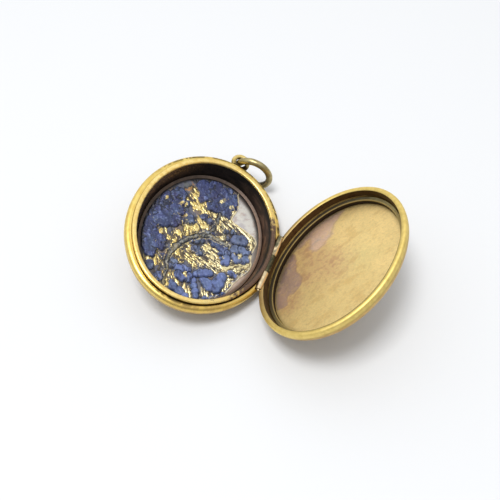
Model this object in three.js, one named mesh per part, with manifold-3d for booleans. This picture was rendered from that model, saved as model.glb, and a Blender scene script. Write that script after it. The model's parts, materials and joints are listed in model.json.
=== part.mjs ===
// A gilt brass picture locket, lying open on its back: an oval case and an oval lid on a
// three-knuckle hinge, with a soldered bail loop and a jump ring at the end of the case.
// Units are millimetres and +Z is up from the table. The case and the lid are each drawn
// flat, with z out of their mouth, and are then laid at the angles they rest at.
import * as THREE from 'three';
import { mergeVertices } from 'three/addons/utils/BufferGeometryUtils.js';
import Module from 'manifold-3d';

const wasm = await Module();
wasm.setup();

// ---- driving dimensions ----
const HALF_WIDTH = 14;        // from the middle of a half to its outer edge, across the hinge
const OVAL_STRETCH = 2.27;    // how much further the outline reaches along the hinge
const FULL_STRETCH_AT = 10;   // radius from which an outline gets the whole stretch
const OVAL_STEPS = 48;        // sides of every oval outline
const SHEET = 0.3;            // thickness of the pressed brass sheet
const GAP = 0.04;             // gap left between pieces that touch

const CASE_TILT = THREE.MathUtils.degToRad(19.6);    // the case lies with its hinge side down
const LID_RISE = THREE.MathUtils.degToRad(55.1);     // the lid's angle up from lying flat open
const STOP_OPENING = THREE.MathUtils.degToRad(131);  // opening at which the filed rims meet

const CASE = { edge: 0.75, corner: 2.9, domeSlope: THREE.MathUtils.degToRad(21), rimDepth: 1.3 };
const LID = { edge: 0.47, corner: 2.8, domeSlope: THREE.MathUtils.degToRad(18), rimDepth: 1.3 };

const LIP = { inside: 12.05, outside: 12.84, height: 0.6, insideFoot: 11.32, foot: 3.1, tube: 0.34 };
const CASE_FRAME = { top: 2.75, insideTop: 3.2, inside: 10.95, bottom: 3.34 };
const CASE_PLATE = { radius: 11.0, top: 3.38, thickness: 0.1 };
const INSERT = { radius: 10.88, top: 3.17, bottom: 3.35, trimFrom: 2.6, trimTo: 8.3 };
// The insert's trimmed edge beside the hinge, from its lower end up to the bail end.
const INSERT_TRIM = [[9.2, -4.8], [10.6, -1.2], [9.8, 1.6], [9.6, 4.7], [6.7, 5.8], [3.8, 6.5], [3.9, 9.5]];

const LID_WALL = { inside: 12.94, insideFoot: 12.8 };
const LID_FRAME = { outside: 12.7, inside: 12.08, top: 1.5, insideTop: 1.75, bottom: 2.58 };
const LID_FRAME_HEEL = { in: 0.35, up: 0.38 };       // chamfer that clears the shell's corner
const LID_PLATE = { radius: 12.0, top: 2.62, thickness: 0.14 };

const HINGE = { x: 13, knuckle: 0.6, bore: 0.31, pin: 0.25, clearance: 0.07, steps: 24 };
const KNUCKLE_ENDS = [-6.0, -2.2, 1.5, 6.0];         // along the hinge, lower to upper
const PIN_OVERHANG = 0.15;

const BAIL = { x: 0.3, y: 17.35, z: -0.8, radius: 1.3, wire: 0.42 };
const JUMP_RING = { radius: 3.35, wire: 0.6, drop: 1.1, sawCut: 0.08 };

// ---- materials ----
const GOLD = { color: 0xc9a45c, metalness: 1, roughness: 0.35 };
const DARK_BRASS = { color: 0x4a3b2c, metalness: 0.8, roughness: 0.55 };
const OLIVE_BRASS = { color: 0x8a7a4c, metalness: 1, roughness: 0.4 };
const PALE_METAL = { color: 0xbdb8ac, metalness: 0.7, roughness: 0.6 };
const BLUE_PAPER = { color: 0x39457f, metalness: 0.1, roughness: 0.6 };

// ---- building blocks ----
// Shared corners are merged, and the slivers that a turned shape leaves on its axis go.
function welded(geometry) {
  const bare = geometry.clone();
  bare.deleteAttribute('normal');
  bare.deleteAttribute('uv');
  const merged = mergeVertices(bare, 1e-5);
  const corners = merged.index.array;
  const kept = [];
  for (let i = 0; i < corners.length; i += 3) {
    const [a, b, c] = corners.slice(i, i + 3);
    if (a !== b && b !== c && c !== a) kept.push(a, b, c);
  }
  merged.setIndex(kept);
  return merged;
}

function toManifold(geometry) {
  const merged = welded(geometry);
  const mesh = new wasm.Mesh({
    numProp: 3,
    vertProperties: Float32Array.from(merged.attributes.position.array),
    triVerts: Uint32Array.from(merged.index.array),
  });
  return new wasm.Manifold(mesh);
}

function fromManifold(solid) {
  const mesh = solid.getMesh();
  const geometry = new THREE.BufferGeometry();
  geometry.setAttribute('position', new THREE.BufferAttribute(mesh.vertProperties, 3));
  geometry.setIndex(new THREE.BufferAttribute(mesh.triVerts, 1));
  return geometry;
}

function cut(geometry, ...tools) {
  let solid = toManifold(geometry);
  for (const tool of tools) solid = solid.subtract(toManifold(tool));
  return fromManifold(solid);
}

// A section of [radius, z] points, given anticlockwise, is turned about z.
function turned(section, steps = OVAL_STEPS) {
  const points = section.map(([radius, z]) => new THREE.Vector2(radius, z));
  return new THREE.LatheGeometry(points, steps).rotateX(Math.PI / 2);
}

// The same, then stretched along y into the locket's oval.
function turnedOval(section) {
  const geometry = turned(section);
  const position = geometry.attributes.position;
  for (let i = 0; i < position.count; i++) {
    const x = position.getX(i);
    const y = position.getY(i);
    const radius = Math.hypot(x, y);
    if (radius > 0) {
      const stretch = OVAL_STRETCH * Math.min(1, radius / FULL_STRETCH_AT);
      position.setY(i, y * (1 + stretch / radius));
    }
  }
  return geometry;
}

function cylinderAlongY(radius, from, to, steps = HINGE.steps) {
  const geometry = new THREE.CylinderGeometry(radius, radius, to - from, steps);
  return geometry.translate(0, (from + to) / 2, 0);
}

// Points on the turned-under side of a half, from depth `from` round to the dome's edge.
function cornerArc(half, radius, from) {
  const start = Math.asin((from - half.edge) / radius);
  const end = Math.PI / 2 - half.domeSlope;
  const points = [];
  for (let i = 0; i <= 4; i++) {
    const angle = start + (end - start) * i / 4;
    const centre = HALF_WIDTH - half.corner;
    points.push([centre + radius * Math.cos(angle), -half.edge - radius * Math.sin(angle)]);
  }
  return points;
}

// Points on the dome, from just inside its edge to the middle.
function domeArc(edgePoint, slope) {
  const [edgeRadius, edgeZ] = edgePoint;
  const sphere = edgeRadius / Math.sin(slope);
  const centreZ = edgeZ + sphere * Math.cos(slope);
  return [0.75, 0.5, 0.25, 0].map((share) => {
    const angle = slope * share;
    return [sphere * Math.sin(angle), centreZ - sphere * Math.cos(angle)];
  });
}

// A pressed shell: the outside from the middle up to its top edge, and back down inside.
function domedShell(half) {
  const top = half.rimDepth + GAP;
  const outside = cornerArc(half, half.corner, top);
  const inside = cornerArc(half, half.corner - SHEET, top);
  outside.push(...domeArc(outside.at(-1), half.domeSlope));
  inside.push(...domeArc(inside.at(-1), half.domeSlope));
  return turnedOval([...outside.reverse(), ...inside]);
}

// The rounded rim: from its foot up the outside, over the edge and in to `inside`.
function roundedRim(half, inside, insideFoot) {
  const foot = Math.asin((half.rimDepth - half.edge) / half.corner);
  const centre = HALF_WIDTH - half.corner;
  const section = [];
  for (const angle of [foot, foot / 2, 0]) {
    const radius = centre + half.corner * Math.cos(angle);
    section.push([radius, -half.edge - half.corner * Math.sin(angle)]);
  }
  for (let i = 1; i <= 4; i++) {
    const angle = Math.PI / 2 * i / 4;
    const radius = HALF_WIDTH - half.edge + half.edge * Math.cos(angle);
    section.push([radius, -half.edge + half.edge * Math.sin(angle)]);
  }
  section.push([inside, 0], [insideFoot, -half.rimDepth]);
  section.push(section[0]);
  return turnedOval(section);
}

// What is filed away for the hinge: a groove round the knuckles, and the outer corner of the
// rim, back to the plane where both halves meet when the locket is opened as far as it goes.
function hingeCutter(side) {
  const reach = 4;
  const back = (Math.PI - STOP_OPENING) / 2;
  const wedge = new THREE.Shape([
    new THREE.Vector2(0, 1),
    new THREE.Vector2(0, 0),
    new THREE.Vector2(reach * Math.sin(back), -reach * Math.cos(back)),
    new THREE.Vector2(reach, -reach),
    new THREE.Vector2(reach, 1),
  ]);
  const length = 2 * (HALF_WIDTH + OVAL_STRETCH);
  const prism = new THREE.ExtrudeGeometry(wedge, { depth: length, bevelEnabled: false });
  prism.rotateX(Math.PI / 2).translate(HINGE.x, length / 2, 0);
  const radius = HINGE.knuckle + HINGE.clearance;
  const groove = cylinderAlongY(radius, KNUCKLE_ENDS[0] - 0.2, KNUCKLE_ENDS[3] + 0.2);
  groove.translate(HINGE.x, 0, 0);
  const tools = [prism, groove];
  for (const tool of tools) tool.rotateZ(side > 0 ? 0 : Math.PI);
  return tools;
}

function named(name, geometry, material) {
  const mesh = new THREE.Mesh(geometry, new THREE.MeshStandardMaterial(material));
  mesh.name = name;
  return mesh;
}

const group = new THREE.Group();
const caseHalf = new THREE.Group();
caseHalf.rotation.y = CASE_TILT;
group.add(caseHalf);

// ---- the case ----
const caseCutter = hingeCutter(1);
caseHalf.add(named('case_back_shell', cut(domedShell(CASE), ...caseCutter), GOLD));
const caseRim = roundedRim(CASE, LIP.outside + GAP, LIP.outside + GAP);
caseHalf.add(named('case_rim', cut(caseRim, ...caseCutter), GOLD));

// Radius of the lip's sloping inner wall at a given depth.
function lipInsideAt(depth) {
  const share = (LIP.height + depth) / (LIP.height + LIP.foot);
  return LIP.inside + (LIP.insideFoot - LIP.inside) * share;
}

const lip = turnedOval([
  [LIP.insideFoot, -LIP.foot],
  [LIP.insideFoot + LIP.tube, -LIP.foot],
  [lipInsideAt(CASE.rimDepth) + LIP.tube, -CASE.rimDepth],
  [LIP.outside, -CASE.rimDepth],
  [LIP.outside, LIP.height - 0.15],
  [LIP.outside - 0.15, LIP.height],
  [LIP.inside + 0.1, LIP.height],
  [LIP.inside, LIP.height - 0.1],
  [LIP.insideFoot, -LIP.foot],
]);
caseHalf.add(named('case_snap_lip', cut(lip, ...caseCutter), GOLD));

const caseFrameOutside = lipInsideAt(CASE_FRAME.bottom) - GAP;
const caseFrame = turnedOval([
  [CASE_FRAME.inside, -CASE_FRAME.bottom],
  [caseFrameOutside, -CASE_FRAME.bottom],
  [caseFrameOutside, -CASE_FRAME.top],
  [CASE_FRAME.inside, -CASE_FRAME.insideTop],
  [CASE_FRAME.inside, -CASE_FRAME.bottom],
]);
caseHalf.add(named('case_picture_frame', caseFrame, DARK_BRASS));

function plate({ radius, top, thickness }) {
  return turnedOval([
    [0, -top - thickness],
    [radius, -top - thickness],
    [radius, -top],
    [0, -top],
  ]);
}
caseHalf.add(named('case_backing_plate', plate(CASE_PLATE), PALE_METAL));

// The embossed insert is an oval, cut away beside the hinge along a freehand edge.
function insertOutline() {
  const { radius, trimFrom, trimTo } = INSERT;
  const start = Math.acos(trimFrom / radius);
  const end = 2 * Math.PI - Math.acos(trimTo / radius);
  const shape = new THREE.Shape();
  const steps = 36;
  for (let i = 0; i <= steps; i++) {
    const angle = start + (end - start) * i / steps;
    const x = radius * Math.cos(angle);
    const y = (radius + OVAL_STRETCH) * Math.sin(angle);
    if (i === 0) shape.moveTo(x, y);
    else shape.lineTo(x, y);
  }
  const first = shape.getPoints()[0];
  shape.splineThru([...INSERT_TRIM.map(([x, y]) => new THREE.Vector2(x, y)), first]);
  return shape;
}
const insert = new THREE.ExtrudeGeometry(insertOutline(), {
  depth: INSERT.bottom - INSERT.top,
  bevelEnabled: false,
  curveSegments: 3,
});
insert.translate(0, 0, -INSERT.bottom);
caseHalf.add(named('floral_insert', insert, BLUE_PAPER));

// ---- the hinge ----
function knuckle(from, to) {
  const length = to - from - GAP;
  const tube = turned([
    [HINGE.bore, -length / 2],
    [HINGE.knuckle, -length / 2],
    [HINGE.knuckle, length / 2],
    [HINGE.bore, length / 2],
    [HINGE.bore, -length / 2],
  ], HINGE.steps);
  return tube.rotateX(Math.PI / 2).translate(0, (from + to) / 2, 0);
}

const [lowerEnd, lowerJoint, upperJoint, upperEnd] = KNUCKLE_ENDS;
const hinge = new THREE.Group();
hinge.position.x = HINGE.x;
caseHalf.add(hinge);
hinge.add(named('case_knuckle_upper', knuckle(upperJoint, upperEnd), GOLD));
hinge.add(named('case_knuckle_lower', knuckle(lowerEnd, lowerJoint), GOLD));
const pin = cylinderAlongY(HINGE.pin, lowerEnd - PIN_OVERHANG, upperEnd + PIN_OVERHANG);
hinge.add(named('hinge_pin', pin, OLIVE_BRASS));

// ---- the lid, which turns about the hinge ----
const lidHalf = new THREE.Group();
lidHalf.rotation.y = -LID_RISE;
hinge.add(lidHalf);
lidHalf.add(named('lid_knuckle', knuckle(lowerJoint, upperJoint), OLIVE_BRASS));

const lidBody = new THREE.Group();
lidBody.position.set(HINGE.x, 0, -GAP / 2);
lidHalf.add(lidBody);
const lidCutter = hingeCutter(-1);
lidBody.add(named('lid_shell', cut(domedShell(LID), ...lidCutter), GOLD));
const lidRim = roundedRim(LID, LID_WALL.inside, LID_WALL.insideFoot);
lidBody.add(named('lid_rim', cut(lidRim, ...lidCutter), GOLD));

const lidFrame = turnedOval([
  [LID_FRAME.inside, -LID_FRAME.bottom],
  [LID_FRAME.outside - LID_FRAME_HEEL.in, -LID_FRAME.bottom],
  [LID_FRAME.outside, -LID_FRAME.bottom + LID_FRAME_HEEL.up],
  [LID_FRAME.outside, -LID_FRAME.top],
  [LID_FRAME.inside, -LID_FRAME.insideTop],
  [LID_FRAME.inside, -LID_FRAME.bottom],
]);
lidBody.add(named('lid_picture_frame', lidFrame, DARK_BRASS));
lidBody.add(named('lid_backing_plate', plate(LID_PLATE), GOLD));

// ---- the bail loop and the jump ring ----
const loop = new THREE.TorusGeometry(BAIL.radius, BAIL.wire, 10, 28);
loop.translate(BAIL.x, BAIL.y, BAIL.z);
const rimOutline = turnedOval([
  [0, -4],
  [HALF_WIDTH + GAP, -4],
  [HALF_WIDTH + GAP, 2],
  [0, 2],
]);
caseHalf.add(named('bail_loop', cut(loop, rimOutline), GOLD));

// The ring hangs from the loop, beside the case, with a fine saw cut at its lowest point.
const ring = new THREE.TorusGeometry(JUMP_RING.radius, JUMP_RING.wire, 10, 40);
const sawCut = new THREE.BoxGeometry(JUMP_RING.sawCut, 4 * JUMP_RING.wire, 4 * JUMP_RING.wire);
sawCut.translate(0, -JUMP_RING.radius, 0).rotateZ(0.4);
const reach = Math.sqrt(JUMP_RING.radius ** 2 - JUMP_RING.drop ** 2) - 0.12;
const ringMesh = named('jump_ring', cut(ring, sawCut), OLIVE_BRASS);
ringMesh.rotation.x = Math.PI / 2;
ringMesh.position.set(BAIL.x + reach, BAIL.y, BAIL.z - JUMP_RING.drop);
caseHalf.add(ringMesh);

// ---- the whole locket stands on the table, centred over the origin ----
group.updateMatrixWorld(true);
const bounds = new THREE.Box3().setFromObject(group, true);
const middle = bounds.getCenter(new THREE.Vector3());
group.position.set(-middle.x, -middle.y, -bounds.min.z);

export default group;
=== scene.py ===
import itertools
import json
import math

import bmesh
import bpy
import numpy as np
from mathutils import Matrix, Vector


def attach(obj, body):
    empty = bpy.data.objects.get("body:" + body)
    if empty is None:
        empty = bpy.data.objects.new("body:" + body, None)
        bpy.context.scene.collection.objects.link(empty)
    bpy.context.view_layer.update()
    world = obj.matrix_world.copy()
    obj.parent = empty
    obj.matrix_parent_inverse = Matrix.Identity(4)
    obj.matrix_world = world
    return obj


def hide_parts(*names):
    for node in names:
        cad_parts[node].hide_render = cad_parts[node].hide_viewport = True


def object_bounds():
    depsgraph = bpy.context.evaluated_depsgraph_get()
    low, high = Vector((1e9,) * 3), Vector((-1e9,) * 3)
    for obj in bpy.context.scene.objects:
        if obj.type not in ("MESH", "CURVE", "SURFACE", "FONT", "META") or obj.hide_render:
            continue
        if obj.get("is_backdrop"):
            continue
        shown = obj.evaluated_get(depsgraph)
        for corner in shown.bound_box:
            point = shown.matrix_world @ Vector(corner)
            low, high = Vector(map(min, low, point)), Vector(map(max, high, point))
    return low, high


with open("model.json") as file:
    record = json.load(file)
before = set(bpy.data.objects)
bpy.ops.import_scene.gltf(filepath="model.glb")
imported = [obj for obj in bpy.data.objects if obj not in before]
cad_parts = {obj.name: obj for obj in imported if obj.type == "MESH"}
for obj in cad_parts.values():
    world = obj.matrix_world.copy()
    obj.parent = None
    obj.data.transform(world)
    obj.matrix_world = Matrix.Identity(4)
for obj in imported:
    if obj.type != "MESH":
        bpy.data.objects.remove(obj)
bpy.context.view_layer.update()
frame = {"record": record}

# A gilt brass picture locket, lying open. Shapes are drawn in millimetres, each in its own half's
# frame: +Z out of the mouth, +Y along the hinge to the bail, +X away from the middle.

MM = 0.001
STEPS = 288                 # sides of an oval outline
SETTLING_ROUNDS = 16
HALF_WIDTH = 14.0
OVAL_STRETCH = 2.27
FULL_STRETCH_AT = 10.0
SHEET = 0.3
GAP = 0.04
STOP_OPENING = math.radians(131)
CASE_BEND = (70, 1)
LID_BEND = (90, -1)

CASE = dict(edge=0.75, corner=2.9, slope=math.radians(21), rim_depth=1.3, crown=0.05, fall=0.2)
LID = dict(edge=0.47, corner=2.8, slope=math.radians(18), rim_depth=1.3, crown=0.1, fall=0.3)
LIP = dict(inside=12.05, outside=12.84, height=0.6, inside_foot=11.32, foot=3.1, tube=0.34)
CASE_FRAME = dict(top=2.75, inside=10.95, bottom=3.34)
RING_LAP = dict(inside=10.7, top=3.02, under=3.08)      # the ring's thin lip over the insert
CASE_PLATE = dict(radius=11.0, top=3.38, thickness=0.1)
INSERT = dict(radius=10.88, top=3.17, bottom=3.35, trim_from=2.6, trim_to=8.3)
INSERT_TRIM = [(9.2, -4.8), (10.6, -1.2), (9.8, 1.6), (9.6, 4.7), (6.7, 5.8), (3.8, 6.5),
               (3.9, 9.5)]
LID_WALL = dict(inside=12.94, inside_foot=12.8)
LID_FRAME = dict(outside=12.7, inside=12.08, top=1.5, inside_top=1.75, bottom=2.58)
LID_FRAME_HEEL = (0.35, 0.38)
LID_PLATE = dict(radius=12.0, top=2.62, thickness=0.14)
HINGE = dict(x=13.0, knuckle=0.6, bore=0.31, pin=0.25, clearance=0.07)
KNUCKLE_ENDS = (-6.0, -2.2, 1.5, 6.0)
PIN_OVERHANG = 0.15
# The wires of the bail and the ring are a few hundredths thicker than their solids.
BAIL = dict(x=0.3, y=17.35, z=-0.8, radius=1.35, wire=0.47)
JUMP_RING = dict(radius=3.35, wire=0.64, blade=1.2, drop=1.1, saw_cut=0.08, saw_turn=0.4)
ROW_SPACING = 0.25          # between the points of long walls
PITCH = dict(insert=0.08, case_plate=0.25, lid_plate=0.14)      # between a flat piece's points
DENT, DENT_WIDTH = 0.05, 6.5                                    # of hand-pressed sheet
KNUCKLE_SIDES = 40
WEDGE_HALF_LENGTH = 17      # of the filed corner beside the hinge
GROOVE_END_ROOM = 0.2


# ---------------------------------------------------------------- frames from the record
def half_frame(mount_name, seat_depth):
    """The row-frame matrix of a half, in millimetres, from the face its picture rests on."""
    mount = next(m for m in frame["record"]["mounts"] if m["name"] == mount_name)
    z = Vector(mount["axis"]).normalized()
    y = Vector((0, 1, 0))
    x = y.cross(z)
    origin = Vector(mount["pos_m"]) / MM + z * seat_depth
    matrix = Matrix((x, y, z)).transposed().to_4x4()
    matrix.translation = origin
    return matrix


CASE_AT = half_frame("case_picture_seat", INSERT["top"])
LID_AT = half_frame("lid_picture_seat", LID_PLATE["top"])


# ---------------------------------------------------------------- noise on points
HASH_STEPS = (374761393, 668265263, 2147483647, 974634777)


def hashed(*cell_and_seed):
    """A number from -1 to 1, always the same for the same cell and seed."""
    n = sum(value * step for value, step in zip(cell_and_seed, HASH_STEPS)) & 0xFFFFFFFF
    for shift, factor in ((13, 1274126177), (16, 668265263)):
        n = ((n ^ (n >> shift)) * factor) & 0xFFFFFFFF
    return ((n >> 9) & 0xFFFF) / 32767.5 - 1


def noise3(x, y, z, seed):
    """Smooth value noise, -1 to 1, with features about one unit wide."""
    places = np.array(np.broadcast_arrays(x, y, z), float)
    cell = np.floor(places).astype(np.int64)
    part = places - cell
    part = part * part * (3 - 2 * part)
    total = np.zeros(places.shape[1:])
    for corner in itertools.product((0, 1), repeat=3):
        weight = math.prod(p if c else 1 - p for c, p in zip(corner, part))
        total += weight * hashed(*(at + c for c, at in zip(corner, cell)), seed)
    return total


def fractal(x, y, z=0.0, seed=0, octaves=4):
    """Noise in octaves, each finer and weaker than the one before."""
    total, size, power = 0.0, 1.0, 1.0
    for octave in range(octaves):
        total = total + power * noise3(x * size, y * size, z * size, seed + 17 * octave)
        size *= 2.03
        power *= 0.5
    return total


def clouds(x, y, size, seed, octaves=4):
    """Flat noise with features about one size wide."""
    return fractal(x / size, y / size, seed=seed, octaves=octaves)


def smooth(low, high, value):
    """0 at low and 1 at high, with a soft start and end. low may be the larger."""
    t = np.clip((value - low) / (high - low), 0, 1)
    return t * t * (3 - 2 * t)


def near(value, centre, width):
    """1 at the centre, fading out over the width."""
    return np.exp(-((value - centre) / width) ** 2)


def near_angle(angle, centre, width):
    return near(np.angle(np.exp(1j * (angle - centre))), 0, width)


def near_spot(x, y, cx, cy, reach):
    return near(np.hypot(x - cx, y - cy), 0, reach)


# ---------------------------------------------------------------- ovals and sections
def oval_stretch(radius):
    """How many times as long as wide the outline of this half width is."""
    radius = np.maximum(radius, 1e-9)
    return 1 + OVAL_STRETCH * np.minimum(1, radius / FULL_STRETCH_AT) / radius


def oval_radius(x, y):
    """The half width of the oval outline that each point is on."""
    radius = np.hypot(x, y)
    for _ in range(SETTLING_ROUNDS):
        radius = np.hypot(x, y / oval_stretch(radius))
    return radius


def turns(count):
    """Angles spaced evenly round one turn."""
    return np.arange(count) * 2 * math.pi / count


def arc(centre, radius, start, end, count):
    angles = np.linspace(start, end, count)
    return [(centre[0] + radius * math.cos(a), centre[1] + radius * math.sin(a)) for a in angles]


def rounded(section, radii, count=5):
    """A closed section of [radius, z] corners with each corner rounded by its own radius."""
    points = [np.array(p, float) for p in section]
    made = []
    for i, here in enumerate(points):
        before, after = points[i - 1], points[(i + 1) % len(points)]
        size = radii[i]
        if size == 0:
            made.append(tuple(here))
            continue
        a = (before - here) / np.linalg.norm(before - here)
        b = (after - here) / np.linalg.norm(after - here)
        for t in np.linspace(0, 1, count):
            start, end = here + a * size, here + b * size
            point = (1 - t) ** 2 * start + 2 * t * (1 - t) * here + t ** 2 * end
            made.append(tuple(point))
    return made


def corner_arc(half, radius, start, end, count=14):
    """Part of the rounded corner between a half's side wall and its dome."""
    return arc((HALF_WIDTH - half["corner"], -half["edge"]), radius, -start, -end, count)


def dome_arc(edge_point, slope, count=14):
    """A spherical dome from its edge, where it has this slope, to the middle."""
    edge_radius, edge_z = edge_point
    sphere = edge_radius / math.sin(slope)
    centre_z = edge_z + sphere * math.cos(slope)
    shares = np.linspace(1, 0, count + 1)[1:]
    return [
        (sphere * math.sin(slope * s), centre_z - sphere * math.cos(slope * s)) for s in shares
    ]


def shell_section(half):
    """The pressed sheet: the lower wall, the rounded corner and the dome, outside and inside."""
    skins = []
    for radius in (half["corner"], half["corner"] - SHEET):
        start = math.asin((half["rim_depth"] + 0.01 - half["edge"]) / radius)
        skin = corner_arc(half, radius, start, math.pi / 2 - half["slope"])
        skins.append(skin + dome_arc(skin[-1], half["slope"]))
    return skins[0][::-1] + skins[1]


def rim_section(half, inside, inside_foot):
    """The rim ring: over the rounded edge and a narrow crown, then down to its inner wall."""
    edge = half["edge"]
    foot = math.asin((half["rim_depth"] - edge) / half["corner"])
    section = corner_arc(half, half["corner"], foot, 0, 5)
    section += arc((HALF_WIDTH - edge, -edge), edge, 0, math.pi / 2, 12)[1:]
    crown = HALF_WIDTH - edge - half["crown"]
    for turn in np.linspace(0, math.pi / 2, 8):
        across, down = math.sin(turn), 1 - math.cos(turn)
        section.append((crown - (crown - inside) * across, -half["fall"] * down))
    section.append((inside_foot, -half["rim_depth"]))
    return section


def lip_inside_at(depth):
    """The inner wall of the lip narrows towards its foot."""
    share = (LIP["height"] + depth) / (LIP["height"] + LIP["foot"])
    return LIP["inside"] + (LIP["inside_foot"] - LIP["inside"]) * share


# ---------------------------------------------------------------- meshes in millimetres
def turned(section, closed=True, steps=STEPS, oval=True):
    """A [radius, z] section turned about z into (points, faces)."""
    section = np.array(section, float)
    count = len(section)
    angles = turns(steps)
    radius = section[:, 0]
    stretch = oval_stretch(radius) if oval else np.ones(count)
    x = radius[None] * np.cos(angles)[:, None]
    y = (radius * stretch)[None] * np.sin(angles)[:, None]
    z = np.broadcast_to(section[:, 1][None], x.shape)
    points = np.stack([x, y, z], -1).reshape(-1, 3)
    faces = []
    for i in range(steps):
        j = (i + 1) % steps
        for k in range(count if closed else count - 1):
            m = (k + 1) % count
            if radius[k] < 1e-9 and radius[m] < 1e-9:
                continue
            faces.append((i * count + k, j * count + k, j * count + m, i * count + m))
    return points, faces


def mesh_of(points, faces, weld=1e-5):
    """A Blender mesh in millimetres, with doubled points merged and its faces turned outwards."""
    mesh = bpy.data.meshes.new("shape")
    mesh.from_pydata([tuple(p) for p in points], [], [tuple(f) for f in faces])
    work = bmesh.new()
    work.from_mesh(mesh)
    bmesh.ops.remove_doubles(work, verts=work.verts, dist=weld)
    bmesh.ops.dissolve_degenerate(work, edges=work.edges, dist=weld)
    bmesh.ops.recalc_face_normals(work, faces=work.faces)
    work.to_mesh(mesh)
    work.free()
    return mesh


def cut(mesh, *tools):
    """The mesh with the tools' volumes taken away."""
    for tool in tools:
        body = bpy.data.objects.new("body", mesh)
        cutter = bpy.data.objects.new("cutter", tool)
        for o in (body, cutter):
            bpy.context.scene.collection.objects.link(o)
        modifier = body.modifiers.new("cut", "BOOLEAN")
        modifier.operation = "DIFFERENCE"
        modifier.solver = "EXACT"
        modifier.object = cutter
        bpy.context.view_layer.update()
        depsgraph = bpy.context.evaluated_depsgraph_get()
        made = bpy.data.meshes.new_from_object(body.evaluated_get(depsgraph))
        for o in (body, cutter):
            bpy.data.objects.remove(o)
        mesh = made
    return mesh


def prism_along_y(outline, start, end):
    """A prism on an outline of [x, z] points, between two places along the hinge."""
    count = len(outline)
    points = [(x, y, z) for y in (start, end) for x, z in outline]
    faces = [tuple(range(count)), tuple(range(count, 2 * count))]
    faces += [(i, (i + 1) % count, count + (i + 1) % count, count + i) for i in range(count)]
    return points, faces


def hinge_cutters(side):
    """The filed corner and the knuckles' groove, for the case (side 1) or the lid (side -1)."""
    reach = 4.0
    back = (math.pi - STOP_OPENING) / 2
    x0 = HINGE["x"]
    wedge = [(x0, 1), (x0, 0), (x0 + reach * math.sin(back), -reach * math.cos(back)),
             (x0 + reach, -reach), (x0 + reach, 1)]
    groove_radius = HINGE["knuckle"] + HINGE["clearance"]
    groove = [(x0 + groove_radius * math.cos(a), groove_radius * math.sin(a))
              for a in turns(KNUCKLE_SIDES)]
    tools = []
    for outline, start, end in (
        (wedge, -WEDGE_HALF_LENGTH, WEDGE_HALF_LENGTH),
        (groove, KNUCKLE_ENDS[0] - GROOVE_END_ROOM, KNUCKLE_ENDS[3] + GROOVE_END_ROOM),
    ):
        outline = [(side * x, z) for x, z in outline]
        tools.append(mesh_of(*prism_along_y(outline, start, end)))
    return tools


# ---------------------------------------------------------------- shader nodes
def rgb(red, green, blue):
    """An sRGB colour, 0 to 255, as the linear colour a node takes."""
    def linear(value):
        value /= 255
        return value / 12.92 if value <= 0.04045 else ((value + 0.055) / 1.055) ** 2.4
    return (linear(red), linear(green), linear(blue), 1.0)


class Shader:
    def __init__(self, name):
        self.material = bpy.data.materials.new(name)
        self.material.use_nodes = True
        self.tree = self.material.node_tree
        self.tree.nodes.clear()

    def node(self, kind, inputs=None, **settings):
        made = self.tree.nodes.new(kind)
        for key, value in settings.items():
            setattr(made, key, value)
        for key, value in (inputs or {}).items():
            socket = made.inputs[key]
            if isinstance(value, bpy.types.NodeSocket):
                self.tree.links.new(value, socket)
            else:
                socket.default_value = value
        return made

    def attribute(self, name, output="Vector"):
        return self.node("ShaderNodeAttribute", attribute_name=name).outputs[output]

    def field(self, name):
        return self.attribute(name, "Fac")

    def noise(self, scale, detail, rough, vector=None, distortion=0.0):
        vector = vector or self.attribute("local_mm")
        return self.node("ShaderNodeTexNoise", {
            "Vector": vector, "Scale": scale, "Detail": detail, "Roughness": rough,
            "Distortion": distortion,
        }).outputs[0]

    def shift(self, vector, offset, factor=(1, 1, 1)):
        moved = self.node("ShaderNodeVectorMath", {0: vector, 1: factor}, operation="MULTIPLY")
        added = self.node("ShaderNodeVectorMath", {0: moved.outputs[0], 1: offset}, operation="ADD")
        return added.outputs[0]

    def streaks(self, offset, factor, detail=4, rough=0.6):
        """Noise that is drawn out around the piece."""
        return self.noise(1.0, detail, rough, self.shift(self.attribute("band"), offset, factor))

    def remap(self, value, low, high, to_low=0.0, to_high=1.0):
        return self.node("ShaderNodeMapRange", {
            "Value": value, "From Min": low, "From Max": high, "To Min": to_low, "To Max": to_high,
        }, interpolation_type="SMOOTHSTEP").outputs[0]

    def maths(self, operation, a, b):
        return self.node("ShaderNodeMath", {0: a, 1: b}, operation=operation).outputs[0]

    def times(self, a, b):
        return self.maths("MULTIPLY", a, b)

    def plus(self, a, b):
        return self.maths("ADD", a, b)

    def minus(self, a, b):
        return self.maths("SUBTRACT", a, b)

    def most(self, a, b):
        return self.maths("MAXIMUM", a, b)

    def mix(self, factor, a, b, blend="MIX"):
        sockets = {0: factor, 6: a, 7: b}
        return self.node("ShaderNodeMix", sockets, data_type="RGBA", blend_type=blend).outputs[2]

    def bump(self, height, distance, strength, normal=None):
        inputs = {"Height": height, "Distance": distance, "Strength": strength}
        if normal:
            inputs["Normal"] = normal
        return self.node("ShaderNodeBump", inputs).outputs[0]

    def finish(self, **inputs):
        inputs = {key.replace("_", " "): value for key, value in inputs.items()}
        shader = self.node("ShaderNodeBsdfPrincipled", inputs)
        self.node("ShaderNodeOutputMaterial", {"Surface": shader.outputs[0]})
        return self.material


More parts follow.
